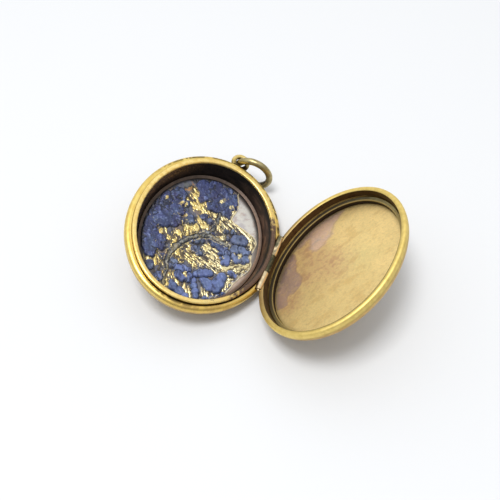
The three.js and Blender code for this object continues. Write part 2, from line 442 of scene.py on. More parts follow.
def brass(name, bright, mid, dark, roughness, seed, tarnish=(0.56, 0.8), grime_and_shade=rgb(42, 30, 18),
          pits=0.72):
    """Old gilt brass: satin metal, mottled and brushed, with tarnish, grime and painted shade, and
    small pits.
    """
    s = Shader(name)
    local = s.shift(s.attribute("local_mm"), (seed, seed * 0.7, -seed))
    mottle = s.noise(0.9, 5, 0.55, local)
    fine = s.noise(9.0, 4, 0.6, local)
    patches = s.noise(0.3, 5, 0.6, local, 0.6)
    brushed = s.streaks((seed, 0, 0), (5, 5, 14))
    grain = s.streaks((0, seed, 0), (16, 16, 60), 2, 0.5)
    colour = s.mix(s.remap(mottle, 0.3, 0.7), mid, bright)
    tarnished = s.remap(s.minus(patches, s.times(s.field("wear_and_glint"), 0.12)), *tarnish)
    tarnished = s.most(tarnished, s.times(s.remap(brushed, 0.56, 0.78), 0.4))
    colour = s.mix(s.times(tarnished, 0.75), colour, dark)
    stained = s.times(s.field("stain"), s.remap(mottle, 0.4, 0.62, 0.15, 0.85))
    colour = s.mix(stained, colour, rgb(168, 118, 64))
    dirt_and_shade = s.times(s.field("grime_and_shade"), s.remap(mottle, 0.1, 0.6, 0.4, 1.0))
    colour = s.mix(dirt_and_shade, colour, grime_and_shade)
    pit_field = s.noise(3.4, 3, 0.7, s.shift(local, (5.1, 2.3, 1.7)))
    pitted = s.times(s.remap(pit_field, pits, pits + 0.04),
                     s.remap(s.noise(0.5, 2, 0.5, local), 0.42, 0.6))
    colour = s.mix(s.times(pitted, 0.8), colour, rgb(52, 40, 28))
    rough = s.remap(fine, 0.3, 0.7, roughness - 0.04, roughness + 0.05)
    rough = s.plus(rough, s.times(s.most(dirt_and_shade, tarnished), 0.14))
    height = s.plus(s.times(grain, 0.3), s.times(fine, 0.4))
    height = s.minus(height, s.times(pitted, 1.2))
    normal = s.bump(mottle, 0.00003, 0.4, s.bump(height, 0.00001, 0.4))
    return s.finish(Base_Color=colour, Metallic=1.0, Roughness=rough, Normal=normal)


def tarnished_wall(name, base, stain, glint, roughness, metallic, seed, grime_and_shade=rgb(14, 12, 10)):
    """Dark tarnished metal with soft clouds, faint streaks around it and a rubbed edge with painted
    highlights.
    """
    s = Shader(name)
    local = s.shift(s.attribute("local_mm"), (seed, -seed, seed * 0.4))
    blotch = s.noise(0.9, 6, 0.62, local)
    fine = s.noise(6.0, 4, 0.6, local)
    around = s.streaks((seed, 0, 0), (9, 9, 12))
    darker = tuple(0.6 * c for c in base[:3]) + (1,)
    colour = s.mix(s.remap(blotch, 0.3, 0.75), base, darker)
    stained = s.times(s.field("stain"), s.remap(around, 0.35, 0.65))
    colour = s.mix(stained, colour, stain)
    worn = s.times(s.field("wear_and_glint"), s.remap(fine, 0.3, 0.62, 0.45, 1.0))
    colour = s.mix(worn, colour, glint)
    colour = s.mix(s.field("grime_and_shade"), colour, grime_and_shade)
    rough = s.remap(fine, 0.3, 0.7, roughness - 0.06, roughness + 0.12)
    normal = s.bump(blotch, 0.00004, 0.5, s.bump(fine, 0.000015, 0.6))
    return s.finish(Base_Color=colour, Metallic=metallic, Roughness=rough, Normal=normal)


def painted(name, metallic, roughness, bump_scale, bump_size, speck, speck_at, contrast,
            grain=22.0):
    """A surface whose broad colours are in its points, with fine mottling, specks and bump.

    Without a metallic value its foil decides which points are metal."""
    s = Shader(name)
    mottle = s.noise(bump_scale, 5, 0.62)
    fine = s.noise(grain, 3, 0.6)
    light = s.plus(s.times(mottle, 0.6), s.times(fine, 0.4))
    light = s.remap(light, 0.32, 0.68, 1 - contrast, 1 + contrast)
    shade = s.node("ShaderNodeCombineColor", dict.fromkeys(("Red", "Green", "Blue"), light))
    colour = s.mix(1.0, s.attribute("paint", "Color"), shade.outputs[0], "MULTIPLY")
    specks = s.remap(s.noise(4.6, 4, 0.7, s.shift(s.attribute("local_mm"), (3.3, 8.1, 0))),
                     speck_at, speck_at + 0.05)
    colour = s.mix(s.times(specks, 0.7), colour, speck)
    if metallic is None:
        metallic = s.field("foil")
        rough = s.remap(metallic, 0, 1, roughness, 0.34)
    else:
        rough = s.remap(mottle, 0.3, 0.7, roughness - 0.06, roughness + 0.08)
    normal = s.bump(mottle, bump_size * 2, 0.6, s.bump(fine, bump_size, 0.6))
    return s.finish(Base_Color=colour, Metallic=metallic, Roughness=rough, Normal=normal)


# ---------------------------------------------------------------- pieces
def bent(points, bend):
    """The slight unevenness of hand-pressed sheet, the same for every piece of a half.

    It dies out towards the hinge and the mouth, where the two halves meet closely."""
    seed, hinge_side = bend
    moved = points.copy()
    flat = DENT * smooth(11.5, 6.0, hinge_side * points[:, 0])
    upright = 0.7 * flat * smooth(-0.1, -1.2, points[:, 2])
    for axis, size in enumerate((flat, flat, upright)):
        moved[:, axis] += size * noise3(*points.T / DENT_WIDTH, seed + axis)
    return moved


def add_field(mesh, name, kind, key, values):
    layer = mesh.attributes.new(name, kind, "POINT")
    layer.data.foreach_set(key, np.ascontiguousarray(values, np.float32).ravel())


def piece(name, mesh, half, body, material, replaces, fields=None, sharp=38, warp=None):
    """Finishes a millimetre mesh: attributes for its material, into the row frame, on its body."""
    work = bmesh.new()
    work.from_mesh(mesh)
    bmesh.ops.triangulate(work, faces=[f for f in work.faces if len(f.verts) > 4])
    bmesh.ops.recalc_face_normals(work, faces=work.faces)
    work.to_mesh(mesh)
    work.free()
    count = len(mesh.vertices)
    points = np.zeros(count * 3)
    mesh.vertices.foreach_get("co", points)
    points = points.reshape(-1, 3)
    radius = oval_radius(points[:, 0], points[:, 1])
    angle = np.arctan2(points[:, 1] / oval_stretch(radius), points[:, 0])
    given = fields(points, radius, angle) if fields else {}
    # The dark field carries dirt and painted shade; the bright field carries wear and painted
    # highlights.
    values = dict.fromkeys(("wear_and_glint", "grime_and_shade", "stain"), np.zeros(count))
    values.update({key: value for key, value in given.items() if np.ndim(value) == 1})
    for key, value in values.items():
        add_field(mesh, key, "FLOAT", "value", value)
    band = np.stack([np.cos(angle), np.sin(angle), (radius - points[:, 2]) / 12], -1)
    add_field(mesh, "local_mm", "FLOAT_VECTOR", "vector", points)
    add_field(mesh, "band", "FLOAT_VECTOR", "vector", band)
    if "paint" in given:
        colour = np.concatenate([given["paint"], np.ones((count, 1))], 1)
        add_field(mesh, "paint", "FLOAT_COLOR", "color", colour)
    if warp is not None:
        points = bent(points, warp)
    matrix = np.array(half)
    placed = (points @ matrix[:3, :3].T + matrix[:3, 3]) * MM
    mesh.vertices.foreach_set("co", placed.astype(np.float32).ravel())
    mesh.update()
    mesh.shade_smooth()
    mesh.set_sharp_from_angle(angle=math.radians(sharp))
    mesh.materials.clear()
    mesh.materials.append(material)
    mesh.name = name
    made = bpy.data.objects.new(name, mesh)
    bpy.context.scene.collection.objects.link(made)
    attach(made, body)
    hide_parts(*replaces)


# ---------------------------------------------------------------- materials
GILT_CASE = brass("gilt_case", rgb(240, 214, 128), rgb(228, 194, 104), rgb(150, 112, 54),
                  0.36, 3.0, grime_and_shade=rgb(66, 56, 38))
GILT_SHELL = brass("gilt_shell", rgb(206, 172, 100), rgb(184, 148, 80), rgb(108, 80, 42),
                   0.38, 21.0)
GILT_KNUCKLE = brass("gilt_knuckle", rgb(248, 226, 186), rgb(232, 206, 160), rgb(146, 120, 84),
                     0.3, 27.0, grime_and_shade=rgb(96, 94, 74), pits=0.66)
OLIVE = brass("olive_wire", rgb(190, 177, 130), rgb(152, 138, 96), rgb(92, 80, 54),
              0.36, 33.0, (0.5, 0.74), rgb(64, 56, 38))
OLIVE_KNUCKLE = brass("olive_knuckle", rgb(168, 156, 118), rgb(130, 118, 82), rgb(70, 64, 44),
                      0.42, 39.0, (0.42, 0.62), rgb(60, 62, 50), 0.64)
BAIL_GILT = brass("bail_gilt", rgb(236, 212, 140), rgb(208, 180, 106), rgb(104, 82, 46),
                  0.32, 45.0, (0.52, 0.7))
CASE_RING = tarnished_wall("case_ring_brown", rgb(84, 71, 63), rgb(102, 84, 72),
                           rgb(208, 166, 134), 0.5, 0.6, 4.0)
LID_RING = tarnished_wall("lid_ring_brown", rgb(76, 66, 46), rgb(132, 132, 104),
                          rgb(200, 176, 110), 0.64, 0.85, 11.0, rgb(48, 38, 28))
INSERT_PAINT = painted("embossed_paper", None, 0.5, 5.0, 0.000012, rgb(24, 24, 34), 0.72, 0.16)
PLATE_PAINT = painted("pale_plate", 0.35, 0.55, 5.0, 0.00001, rgb(120, 96, 80), 0.68, 0.1)
FLOOR_PAINT = painted("lid_plate_satin", 0.92, 0.42, 2.6, 0.000012, rgb(150, 118, 70), 0.7, 0.1,
                      14.0)


# ---------------------------------------------------------------- the case
def left_share(angle):
    """1 on the side away from the hinge, where the lip and the flange have worn together."""
    return smooth(-0.1, 0.7, -np.cos(angle + 0.25))


def case_rim_fields(p, radius, angle):
    """The flange: dirt and painted shade in the groove beside the lip, darker low outside, pits and
    dark spots.
    """
    left = left_share(angle)
    # dirt and painted shade in the groove beside the lip, less where the two have worn together
    inner = near(radius, LIP["outside"] + GAP, 0.16) * (1 - 0.6 * left)
    low = smooth(-0.75, -1.35, p[:, 2])
    x, y, z = p.T / 0.5
    pitted = smooth(-0.2, 0.1, fractal(x, y, z, seed=205))
    blotted = smooth(-0.5, 0.1, fractal(0.5 * x, 0.5 * y, 0.5 * z, seed=207))
    speckle = 1.2 * pitted * near(radius, 13.55, 0.22) * smooth(0.1, 0.7, np.sin(angle + 0.1))
    speckle += blotted * near(radius, 13.25, 0.3) * near(angle, -1.55, 0.4)
    speckle += pitted * near(radius, 13.5, 0.35) * near(angle, 0.5, 0.25)
    hinge_side = near_angle(angle, 0.1, 0.6)
    lower_right = near_angle(angle, -1.15, 0.55)
    hinge_side = np.maximum(hinge_side, 0.65 * lower_right)
    return {"grime_and_shade": np.clip(inner * 1.1 + 0.55 * low + 0.85 * speckle, 0, 1),
            "stain": hinge_side, "wear_and_glint": near(radius, 13.5, 0.3) + left}


case_cutters = hinge_cutters(1)
lid_cutters = hinge_cutters(-1)

piece("case_dome", cut(mesh_of(*turned(shell_section(CASE), closed=False)), *case_cutters),
      CASE_AT, "case", GILT_SHELL, ["case_back_shell"], warp=CASE_BEND)

# Away from the hinge the flange's inner edge is pressed up against the lip.
rim_inside = LIP["outside"] + GAP
rim_points, rim_faces = turned(rim_section(CASE, rim_inside, rim_inside))
rim_radius = oval_radius(rim_points[:, 0], rim_points[:, 1])
closed_up = left_share(np.arctan2(rim_points[:, 1], rim_points[:, 0]))
closed_up *= smooth(LIP["outside"] + 0.3, LIP["outside"] + 0.05, rim_radius)
rim_points[:, 2] += 0.13 * closed_up * (rim_points[:, 2] > -0.5)
rim_points[:, :2] *= (1 - 0.008 * closed_up)[:, None]
piece("case_flange", cut(mesh_of(rim_points, rim_faces), *case_cutters),
      CASE_AT, "case", GILT_CASE, ["case_rim"], case_rim_fields, warp=CASE_BEND)

lip_section = rounded(
    [
        (LIP["inside_foot"], -LIP["foot"]),
        (LIP["inside_foot"] + LIP["tube"], -LIP["foot"]),
        (lip_inside_at(CASE["rim_depth"]) + LIP["tube"], -CASE["rim_depth"]),
        (LIP["outside"], -CASE["rim_depth"]),
        (LIP["outside"], LIP["height"]),
        (LIP["inside"], LIP["height"]),
    ],
    [0, 0, 0, 0, 0.26, 0.24],
    8,
)


def wall_rows(section):
    """Extra rows along a section's long sides, so that stains and dirt have somewhere to sit."""
    made = []
    for here, after in zip(section, section[1:] + section[:1]):
        rows = int(math.dist(here, after) / ROW_SPACING) + 1
        for i in range(rows):
            made.append(tuple(a + i / rows * (b - a) for a, b in zip(here, after)))
    return made


def wall_shader():
    """The lip: bright where the lid rubs its rounded top, and nearly black down its inner wall,
    tarnish with painted shade.
    """
    s = Shader("lip_and_wall")
    mottle = s.noise(1.3, 6, 0.6)
    fine = s.noise(9.0, 4, 0.6)
    patchy = s.noise(3.6, 5, 0.7)
    around = s.streaks((2, 0, 0), (5, 5, 18))
    down = s.streaks((7, 1, 0), (34, 34, 5), 3)
    gold = s.mix(s.remap(mottle, 0.3, 0.7), rgb(230, 196, 114), rgb(244, 218, 144))
    gold = s.mix(s.times(s.field("grime_and_shade"), 0.85), gold, rgb(96, 68, 34))
    browned = s.plus(s.field("browned"), s.remap(mottle, 0.25, 0.75, -0.35, 0.35))
    brown = s.mix(s.remap(fine, 0.4, 0.65), rgb(116, 92, 76), rgb(86, 69, 58))
    gold = s.mix(s.remap(browned, 0.3, 0.75), gold, brown)
    # nearly black: tarnish plus painted shade, for the dark inside that the wall reflects
    wall = s.mix(s.remap(around, 0.3, 0.72), rgb(38, 36, 35), rgb(52, 47, 44))
    stain = s.times(s.field("stain"), s.remap(mottle, 0.34, 0.54, 0.3, 1.0))
    stain = s.times(stain, s.remap(patchy, 0.44, 0.58, 0.15, 1.0))
    wall = s.mix(stain, wall, rgb(150, 116, 66))
    copper = s.times(s.field("copper"), s.remap(around, 0.4, 0.62, 0.35, 0.95))
    wall = s.mix(copper, wall, rgb(134, 104, 86))
    wall = s.mix(s.times(s.remap(down, 0.6, 0.74), 0.25), wall, rgb(24, 21, 20))
    edge = s.plus(s.field("inner"), s.remap(mottle, 0.2, 0.8, -0.2, 0.2))
    edge = s.remap(edge, 0.35, 0.62)
    colour = s.mix(edge, gold, wall)
    rough = s.remap(s.plus(s.times(edge, 0.6), fine), 0.4, 1.3, 0.3, 0.55)
    metal = s.remap(stain, 0, 1, 0.9, 0.2)
    normal = s.bump(mottle, 0.00003, 0.4, s.bump(fine, 0.00001, 0.5))
    return s.finish(Base_Color=colour, Metallic=metal, Roughness=rough, Normal=normal)


def wall_fields(p, radius, angle):
    """Where the lip's dark inner wall begins, and its brown, stained and coppery places."""
    z = p[:, 2]
    inner = (radius < LIP["outside"] - 0.35) & (z < LIP["height"] - 0.06)
    inner = np.where(inner, smooth(0.48, -0.05, z), 0.0)
    browned = near_angle(angle, -0.1, 0.72)
    upper_left = near_angle(angle, math.radians(156), 0.5)
    hinge_side = near(angle, 0, 0.9)
    outer = near(radius, LIP["outside"], 0.1) * smooth(0.45, 0.1, z)
    left = near_angle(angle, 2.9, 0.55)
    return {
        "inner": inner,
        "stain": np.clip(upper_left * smooth(-2.6, -0.6, z) * 1.2, 0, 1),
        "copper": np.clip(hinge_side * smooth(-0.35, -1.2, z) * 1.2 + 0.45 * left, 0, 1),
        "browned": 1.3 * browned,
        "grime_and_shade": outer,
    }


piece("case_lip", cut(mesh_of(*turned(wall_rows(lip_section))), *case_cutters),
      CASE_AT, "case", wall_shader(), ["case_snap_lip"], wall_fields, warp=CASE_BEND)

frame_outside = lip_inside_at(CASE_FRAME["bottom"]) - GAP
ring_section = rounded(
    [
        (CASE_FRAME["inside"], -CASE_FRAME["bottom"]),
        (frame_outside, -CASE_FRAME["bottom"]),
        (frame_outside, -CASE_FRAME["top"]),
        (RING_LAP["inside"], -RING_LAP["top"]),
        (RING_LAP["inside"], -RING_LAP["under"]),
        (CASE_FRAME["inside"], -RING_LAP["under"] - 0.01),
    ],
    [0, 0, 0.07, 0.025, 0, 0],
)


def case_ring_fields(p, radius, angle):
    """The picture ring: its edges rubbed beside the hinge, their bright lines partly painted
    highlight, and painted shade under its lip.
    """
    # the bright lines along these edges are rubbed brass and painted highlight
    top_edge = near(radius, frame_outside, 0.045) * smooth(-2.9, -2.8, p[:, 2])
    low_edge = near(radius, RING_LAP["inside"], 0.04) * near(p[:, 2], -RING_LAP["top"], 0.05)
    hinge_side = near(angle, 0, 0.9)
    bail_side = 0.3 * near(angle, 1.9, 0.8)
    # painted shade on the underside of the ring's lip, over the insert
    under = smooth(-RING_LAP["top"] - 0.03, -RING_LAP["under"], p[:, 2]) * (radius < 11.2)
    return {"wear_and_glint": np.clip((0.06 + 0.4 * top_edge + 0.6 * low_edge) * hinge_side, 0, 1),
            "grime_and_shade": np.maximum(under, bail_side + 0.32 * hinge_side * (1 - low_edge)),
            "stain": np.full(len(p), 0.5)}


piece("case_picture_ring", mesh_of(*turned(ring_section)), CASE_AT, "frame",
      CASE_RING, ["case_picture_frame"], case_ring_fields, warp=CASE_BEND)


# ---------------------------------------------------------------- flat pieces cut from a grid
def spline_through(points, per_span=10):
    """A Catmull-Rom curve through the points."""
    pts = [np.array(p, float) for p in points]
    pts = [2 * pts[0] - pts[1]] + pts + [2 * pts[-1] - pts[-2]]
    made = []
    for a, b, c, d in zip(pts, pts[1:], pts[2:], pts[3:]):
        for i in range(per_span):
            t = i / per_span
            made.append(0.5 * (2 * b + (c - a) * t + (2 * a - 5 * b + 4 * c - d) * t ** 2
                               + (3 * b - a - 3 * c + d) * t ** 3))
    made.append(pts[-2])
    return np.array(made)


def distance_to_line(x, y, a, b):
    """Distance from points to the straight stretch from a to b."""
    d = b - a
    t = np.clip(((x - a[0]) * d[0] + (y - a[1]) * d[1]) / (d @ d), 0, 1)
    return np.hypot(x - a[0] - t * d[0], y - a[1] - t * d[1])


def edge_distance(x, y, outline):
    """Signed distance from points to a closed outline, positive inside."""
    best = np.full(x.shape, np.inf)
    inside = np.zeros(x.shape, bool)
    for a, b in zip(outline, np.roll(outline, -1, 0)):
        d = b - a
        if d @ d < 1e-12:
            continue
        best = np.minimum(best, distance_to_line(x, y, a, b))
        crosses = (a[1] > y) != (b[1] > y)
        if abs(d[1]) > 1e-12:
            inside ^= crosses & (x < a[0] + (y - a[1]) / d[1] * d[0])
    return np.where(inside, best, -best)


def sheet_from_grid(outline, pitch, top, bottom):
    """A flat sheet with a fine grid on its upper side, whose border is pulled onto the outline."""
    low, high = outline.min(0) - pitch, outline.max(0) + pitch
    xs = np.arange(low[0], high[0] + pitch, pitch)
    ys = np.arange(low[1], high[1] + pitch, pitch)
    x, y = np.meshgrid(xs, ys, indexing="ij")
    far = edge_distance(x, y, outline)
    keep_point = far > -0.5 * pitch
    keep = keep_point[:-1, :-1] & keep_point[1:, :-1] & keep_point[:-1, 1:] & keep_point[1:, 1:]
    count = np.zeros(x.shape, int)
    for i, j in itertools.product((0, 1), repeat=2):
        count[i:x.shape[0] - 1 + i, j:x.shape[1] - 1 + j] += keep
    used = count > 0

    # the outermost points move straight onto the outline
    border = used & (count < 4)
    step = 0.01
    gx = (edge_distance(x[border] + step, y[border], outline) - far[border]) / step
    gy = (edge_distance(x[border], y[border] + step, outline) - far[border]) / step
    size = np.maximum(np.hypot(gx, gy), 1e-6)
    x[border] -= far[border] * gx / size
    y[border] -= far[border] * gy / size
    index = np.full(x.shape, -1)
    index[used] = np.arange(used.sum())
    cells = (index[:-1, :-1], index[1:, :-1], index[1:, 1:], index[:-1, 1:])
    faces = list(zip(*(corner[keep] for corner in cells)))
    upper = np.column_stack([x[used], y[used], np.full(used.sum(), -top)])

    # the edges that only one face has make the rim, in which each point leads to the next
    edges = {}
    for face in faces:
        for a, b in zip(face, face[1:] + face[:1]):
            if (b, a) in edges:
                del edges[b, a]
            else:
                edges[a, b] = True
    rim = sorted({v for e in edges for v in e})
    under = {v: len(upper) + i for i, v in enumerate(rim)}
    lower = np.array([(upper[v][0], upper[v][1], -bottom) for v in rim])
    sides = [(b, a, under[a], under[b]) for a, b in edges]
    after = dict(edges.keys())
    loop = [rim[0]]
    while after[loop[-1]] != rim[0] and len(loop) < len(rim):
        loop.append(after[loop[-1]])
    cap = tuple(under[v] for v in reversed(loop))
    return np.concatenate([upper, lower]), faces + sides + [cap], len(upper)


def oval_points(radius, angles):
    """Points on a large oval outline."""
    return np.stack([radius * np.cos(angles), (radius + OVAL_STRETCH) * np.sin(angles)], 1)


def tinted(colours, hue, amount):
    """An sRGB hue laid over linear colours, one for each point."""
    return colours + (np.array(rgb(*hue)[:3]) - colours) * amount[:, None]


def coated(count, base, *coats):
    """Linear colours for that many points: an even base, then coats of (sRGB hue, amount)."""
    colours = np.tile(np.array(rgb(*base)[:3]), (count, 1))
    for hue, amount in coats:
        colours = tinted(colours, hue, amount)
    return colours


def plate_fields(p, radius, angle):
    """The backing plate: pale and stained, bare beside the insert, with painted shadow under the
    ring.
    """
    x, y = p[:, 0], p[:, 1]
    cloud = clouds(x, y, 3, 301)
    speckle = clouds(x, y, 0.6, 305)
    ring_shadow = smooth(10.0, 10.6, radius) * smooth(-0.2, 0.6, np.sin(angle - 0.1))
    colour = coated(
        len(p), (206, 203, 196),
        ((182, 178, 178), smooth(-0.2, 0.7, cloud + 0.5 * speckle)),
        ((220, 190, 166), 0.8 * smooth(2, -5, y + cloud)),
        ((176, 152, 140), 0.6 * smooth(0.2, 0.9, speckle)),
        # painted shade near the border, and painted shadow under the ring on the side towards the
        # bail
        ((110, 96, 84), 0.8 * smooth(9.7, 10.6, radius + 0.25 * cloud)),
        ((24, 20, 18), 0.9 * ring_shadow),
    )
    return {"paint": colour, "foil": np.zeros(len(p))}


def backing_plate(plate, pitch):
    outline = oval_points(plate["radius"], turns(STEPS))
    return sheet_from_grid(outline, pitch, plate["top"], plate["top"] + plate["thickness"])


plate_points, plate_faces, _ = backing_plate(CASE_PLATE, PITCH["case_plate"])
piece("case_plate", mesh_of(plate_points, plate_faces), CASE_AT, "case",
      PLATE_PAINT, ["case_backing_plate"], plate_fields, warp=CASE_BEND)

# ---------------------------------------------------------------- the embossed insert
# Lobes are (x, y, radius). Leaves are heaps of lobes, and the foil lies in the hollows between.
LEAVES = [
    # the large leaf mass on the left
    (-7.2, 6.2, 1.5), (-8.7, 4.5, 1.5), (-6.7, 4.4, 1.4), (-5.7, 2.9, 1.1), (-8.9, 2.4, 1.6),
    (-7.1, 2.3, 1.5), (-9.3, 0.3, 1.6), (-7.5, -0.2, 1.7), (-5.7, 0.6, 1.3), (-4.7, 1.0, 0.8),
    (-9.2, -2.2, 1.5), (-8.5, -4.3, 1.8), (-6.3, -4.4, 1.2), (-5.8, -5.3, 1.0), (-7.5, -6.5, 1.5),
    (-7.0, -7.5, 1.1), (-8.9, -6.4, 1.2),
    # the mass at the bail end
    (-3.6, 10.1, 1.5), (-1.7, 11.2, 1.5), (0.7, 11.3, 1.5), (2.6, 10.7, 1.3), (-2.8, 8.5, 1.3),
    (-3.1, 7.6, 0.9), (-0.9, 9.1, 1.6), (1.6, 9.0, 1.4), (3.0, 9.3, 1.0), (0.1, 7.4, 1.4),
    (2.0, 7.5, 1.3), (3.1, 7.0, 0.8), (-1.0, 6.8, 0.9),
    (0.5, 1.5, 0.5), (1.5, 1.7, 0.5),
]
DULL_LEAVES = [
    (-3.5, 2.6, 1.0), (-3.0, 2.0, 0.9), (-4.4, 3.4, 0.7), (-1.0, 4.2, 0.8), (0.2, 3.8, 0.7),
    (0.2, -2.5, 0.8), (0.8, -3.1, 0.7), (-0.3, -3.0, 0.6), (3.6, 3.6, 0.6), (4.6, 2.4, 0.5),
    (-3.6, -11.0, 1.0), (-6.0, -9.8, 0.9), (-4.6, -7.2, 0.8), (-2.4, -6.9, 0.8), (10.3, -2.3, 0.55),
    (10.0, -3.2, 0.6), (8.9, -3.9, 0.65), (7.8, -3.8, 0.7), (9.3, 2.0, 0.6), (-2.6, -8.0, 0.6),
    (5.0, 4.2, 0.6), (-5.0, 5.0, 0.7), (-1.2, -1.5, 0.5), (-0.3, -0.9, 0.55), (0.7, -0.4, 0.5),
]
# Smooth leaves and petals, laid over the rest one after the other.
PETALS = [
    # the strip along the trimmed edge, and the band at the far end
    [(8.8, -5.2, 0.35), (8.6, -6.2, 0.4), (8.4, -7.2, 0.4), (8.0, -8.3, 0.5), (7.3, -9.3, 0.55),
     (6.5, -10.1, 0.6), (5.5, -10.8, 0.65)],
    [(-1.2, -10.9, 0.5), (-0.5, -11.5, 0.9), (0.8, -11.8, 0.95), (2.0, -12.2, 0.8)],
    # the round leaf beside the hinge, and the flower under it
    [(6.2, 3.1, 1.1), (7.1, 3.5, 1.15), (5.7, 2.6, 0.7)],
    [(6.7, 1.1, 0.95), (6.3, 0.5, 0.7)],
    [(7.8, 1.6, 0.85), (8.7, 1.3, 0.8)],
    [(9.2, 0.3, 0.8), (8.7, -0.4, 0.8)],
    [(7.6, -0.7, 0.85), (6.8, -0.4, 0.6)],
    # the curling leaf under the branch
    [(1.7, 0.5, 0.5), (2.8, 0.2, 0.85), (3.8, 0.1, 0.95), (4.7, -0.1, 0.95), (5.3, -0.8, 0.8)],
    [(4.4, -1.3, 0.45), (4.9, -2.0, 0.4)],
    [(5.6, -0.5, 0.6), (5.9, -1.5, 0.8), (6.0, -2.3, 0.8), (5.6, -2.7, 0.6)],
    # the flower at the far end, with its stalk and two broad leaves
    [(2.1, -8.6, 0.7), (2.7, -9.5, 0.7), (3.3, -10.4, 0.7), (3.7, -11.2, 0.6)],
    [(-0.3, -7.3, 0.75), (0.6, -7.2, 0.6)],
    [(-1.0, -7.9, 0.9), (-1.7, -7.7, 0.5)],
    [(1.0, -8.9, 0.75), (1.3, -8.0, 0.6)],
    [(-0.7, -9.0, 0.85), (0.2, -9.2, 0.8)],
    [(6.5, -5.5, 1.0), (6.4, -6.7, 1.2), (6.1, -7.8, 1.35), (5.1, -8.1, 1.2), (4.3, -7.8, 0.9),
     (3.6, -7.6, 0.6)],
    [(4.3, -5.8, 0.65), (3.6, -6.1, 0.8), (2.8, -6.6, 0.85), (2.2, -7.2, 0.65)],
]
FOIL = [
    (-4.8, 8.4, 0.8), (-4.2, 7.3, 1.1), (-5.5, 6.4, 0.7), (-3.3, 6.2, 1.3), (-2.0, 6.1, 0.9),
    (-1.2, 5.3, 1.0), (0.1, 5.4, 0.9), (2.3, 5.9, 1.0), (3.6, 5.7, 1.1), (5.0, 5.7, 1.0),
    (6.4, 5.6, 0.8), (2.2, 4.4, 0.9), (2.6, 3.2, 0.8), (3.3, 1.9, 0.7), (7.9, 5.0, 0.7),
    (8.5, 3.9, 0.7), (9.5, 3.2, 0.7), (9.6, 0.8, 0.5), (10.1, -0.4, 0.6),
    (-1.2, 3.0, 0.8), (-0.5, 2.6, 0.7), (-1.4, 1.6, 0.8), (-2.5, 0.7, 1.0), (-2.5, -0.4, 0.8),
    (-3.9, -1.7, 0.8), (-4.2, -2.9, 0.8), (-5.1, -3.4, 0.7), (-6.6, -2.6, 0.7), (-4.1, -3.8, 0.5),
    (2.0, -1.4, 0.8), (3.4, -2.2, 1.1), (4.6, -2.8, 0.9), (5.3, -3.5, 1.0), (3.7, -3.8, 1.0),
    (2.0, -4.2, 0.9), (0.5, -4.1, 0.8), (5.7, -4.3, 0.7), (6.8, -3.1, 0.9), (7.6, -2.2, 0.9),
    (8.4, -2.1, 1.0), (9.3, -1.5, 1.0), (-1.2, -3.2, 0.6), (-0.9, -4.6, 0.7), (-1.6, -5.8, 0.8),
    (-2.5, -5.1, 0.8), (1.0, -5.8, 0.7), (0.3, -5.2, 0.7), (7.9, -4.8, 0.4), (8.0, -5.8, 0.4),
    (7.9, -6.8, 0.4), (8.0, -7.6, 0.4), (7.4, -8.6, 0.3), (6.5, -9.4, 0.3), (5.5, -9.9, 0.3),
    (4.7, -10.0, 0.35), (-5.4, -8.6, 0.9), (-6.8, -8.9, 0.8), (-4.5, -8.4, 0.6), (-1.8, -9.4, 0.4),
    (-1.0, -10.1, 0.4), (0.0, -10.4, 0.4), (1.0, -10.6, 0.45), (2.0, -10.9, 0.5), (2.9, -11.4, 0.4),
    (-2.4, -10.6, 0.4), (-3.6, -10.2, 0.4), (-1.9, -11.6, 0.4),
]
FOIL_DOTS = [
    (0.8, 9.4, 0.5), (0.3, 8.9, 0.35), (2.6, 8.8, 0.4), (3.5, 8.3, 0.45), (-6.0, 4.5, 0.4),
    (-5.2, 4.6, 0.35), (-8.8, 4.2, 0.35), (-4.3, 2.5, 0.4), (0.35, -8.2, 0.5), (7.4, 0.2, 0.3),
    (7.8, -0.2, 0.25), (6.7, -0.2, 0.22), (8.0, 0.5, 0.22), (5.1, -1.7, 0.2), (1.1, -5.8, 0.4),
]
# Stems are (half width, foil share, points).
STEMS = [
    (0.38, 0.16, [(-2.2, -12.6), (-3.0, -9.0), (-3.8, -6.6), (-3.6, -5.0), (-2.8, -3.0),
                 (-1.9, -1.4), (-0.7, -0.1), (0.6, 0.8), (2.0, 1.2), (3.4, 1.1), (4.8, 0.8)]),
    (0.25, 0.1, [(-0.3, 0.3), (0.8, 1.6), (1.4, 3.2), (1.6, 4.6), (1.2, 6.3)]),
    (0.12, 0.8, [(-4.4, 0.9), (-3.6, -0.2), (-2.9, -1.4)]),
    (0.12, 0.8, [(-3.5, -8.6), (-2.9, -10.0), (-2.2, -11.4)]),
    (0.12, 0.8, [(-6.0, -6.8), (-5.0, -7.3), (-4.2, -8.0)]),
    (0.12, 0.5, [(2.4, 4.6), (3.4, 3.0), (4.5, 1.6)]),
    (0.1, 0.8, [(3.9, 2.9), (4.3, 2.1), (4.7, 1.2)]),
]


def heap(x, y, lobes):
    """How far inside the nearest lobe a point is, the lobes' rounded tops, and their creases."""
    depth = np.full(x.shape, -9.0)
    first = np.zeros(x.shape)
    second = np.zeros(x.shape)
    for cx, cy, size in lobes:
        far = np.hypot(x - cx, y - cy)
        depth = np.maximum(depth, size - far)
        dome = np.sqrt(np.clip(1 - (far / size) ** 2, 0, 1)) * size
        second = np.maximum(second, np.minimum(first, dome))
        first = np.maximum(first, dome)
    crease = smooth(0.13, 0.0, first - second) * (second > 0)
    return depth, first, crease


def stem_distance(x, y, points):
    """Distance to the curve through a stem's points."""
    line = spline_through(points, 6)
    return np.min([distance_to_line(x, y, a, b) for a, b in zip(line, line[1:])], 0)


def over(lower, upper, amount):
    """upper painted over lower, for one value or one colour a point."""
    if lower.ndim == 2:
        amount = amount[:, None]
    return lower * (1 - amount) + upper * amount


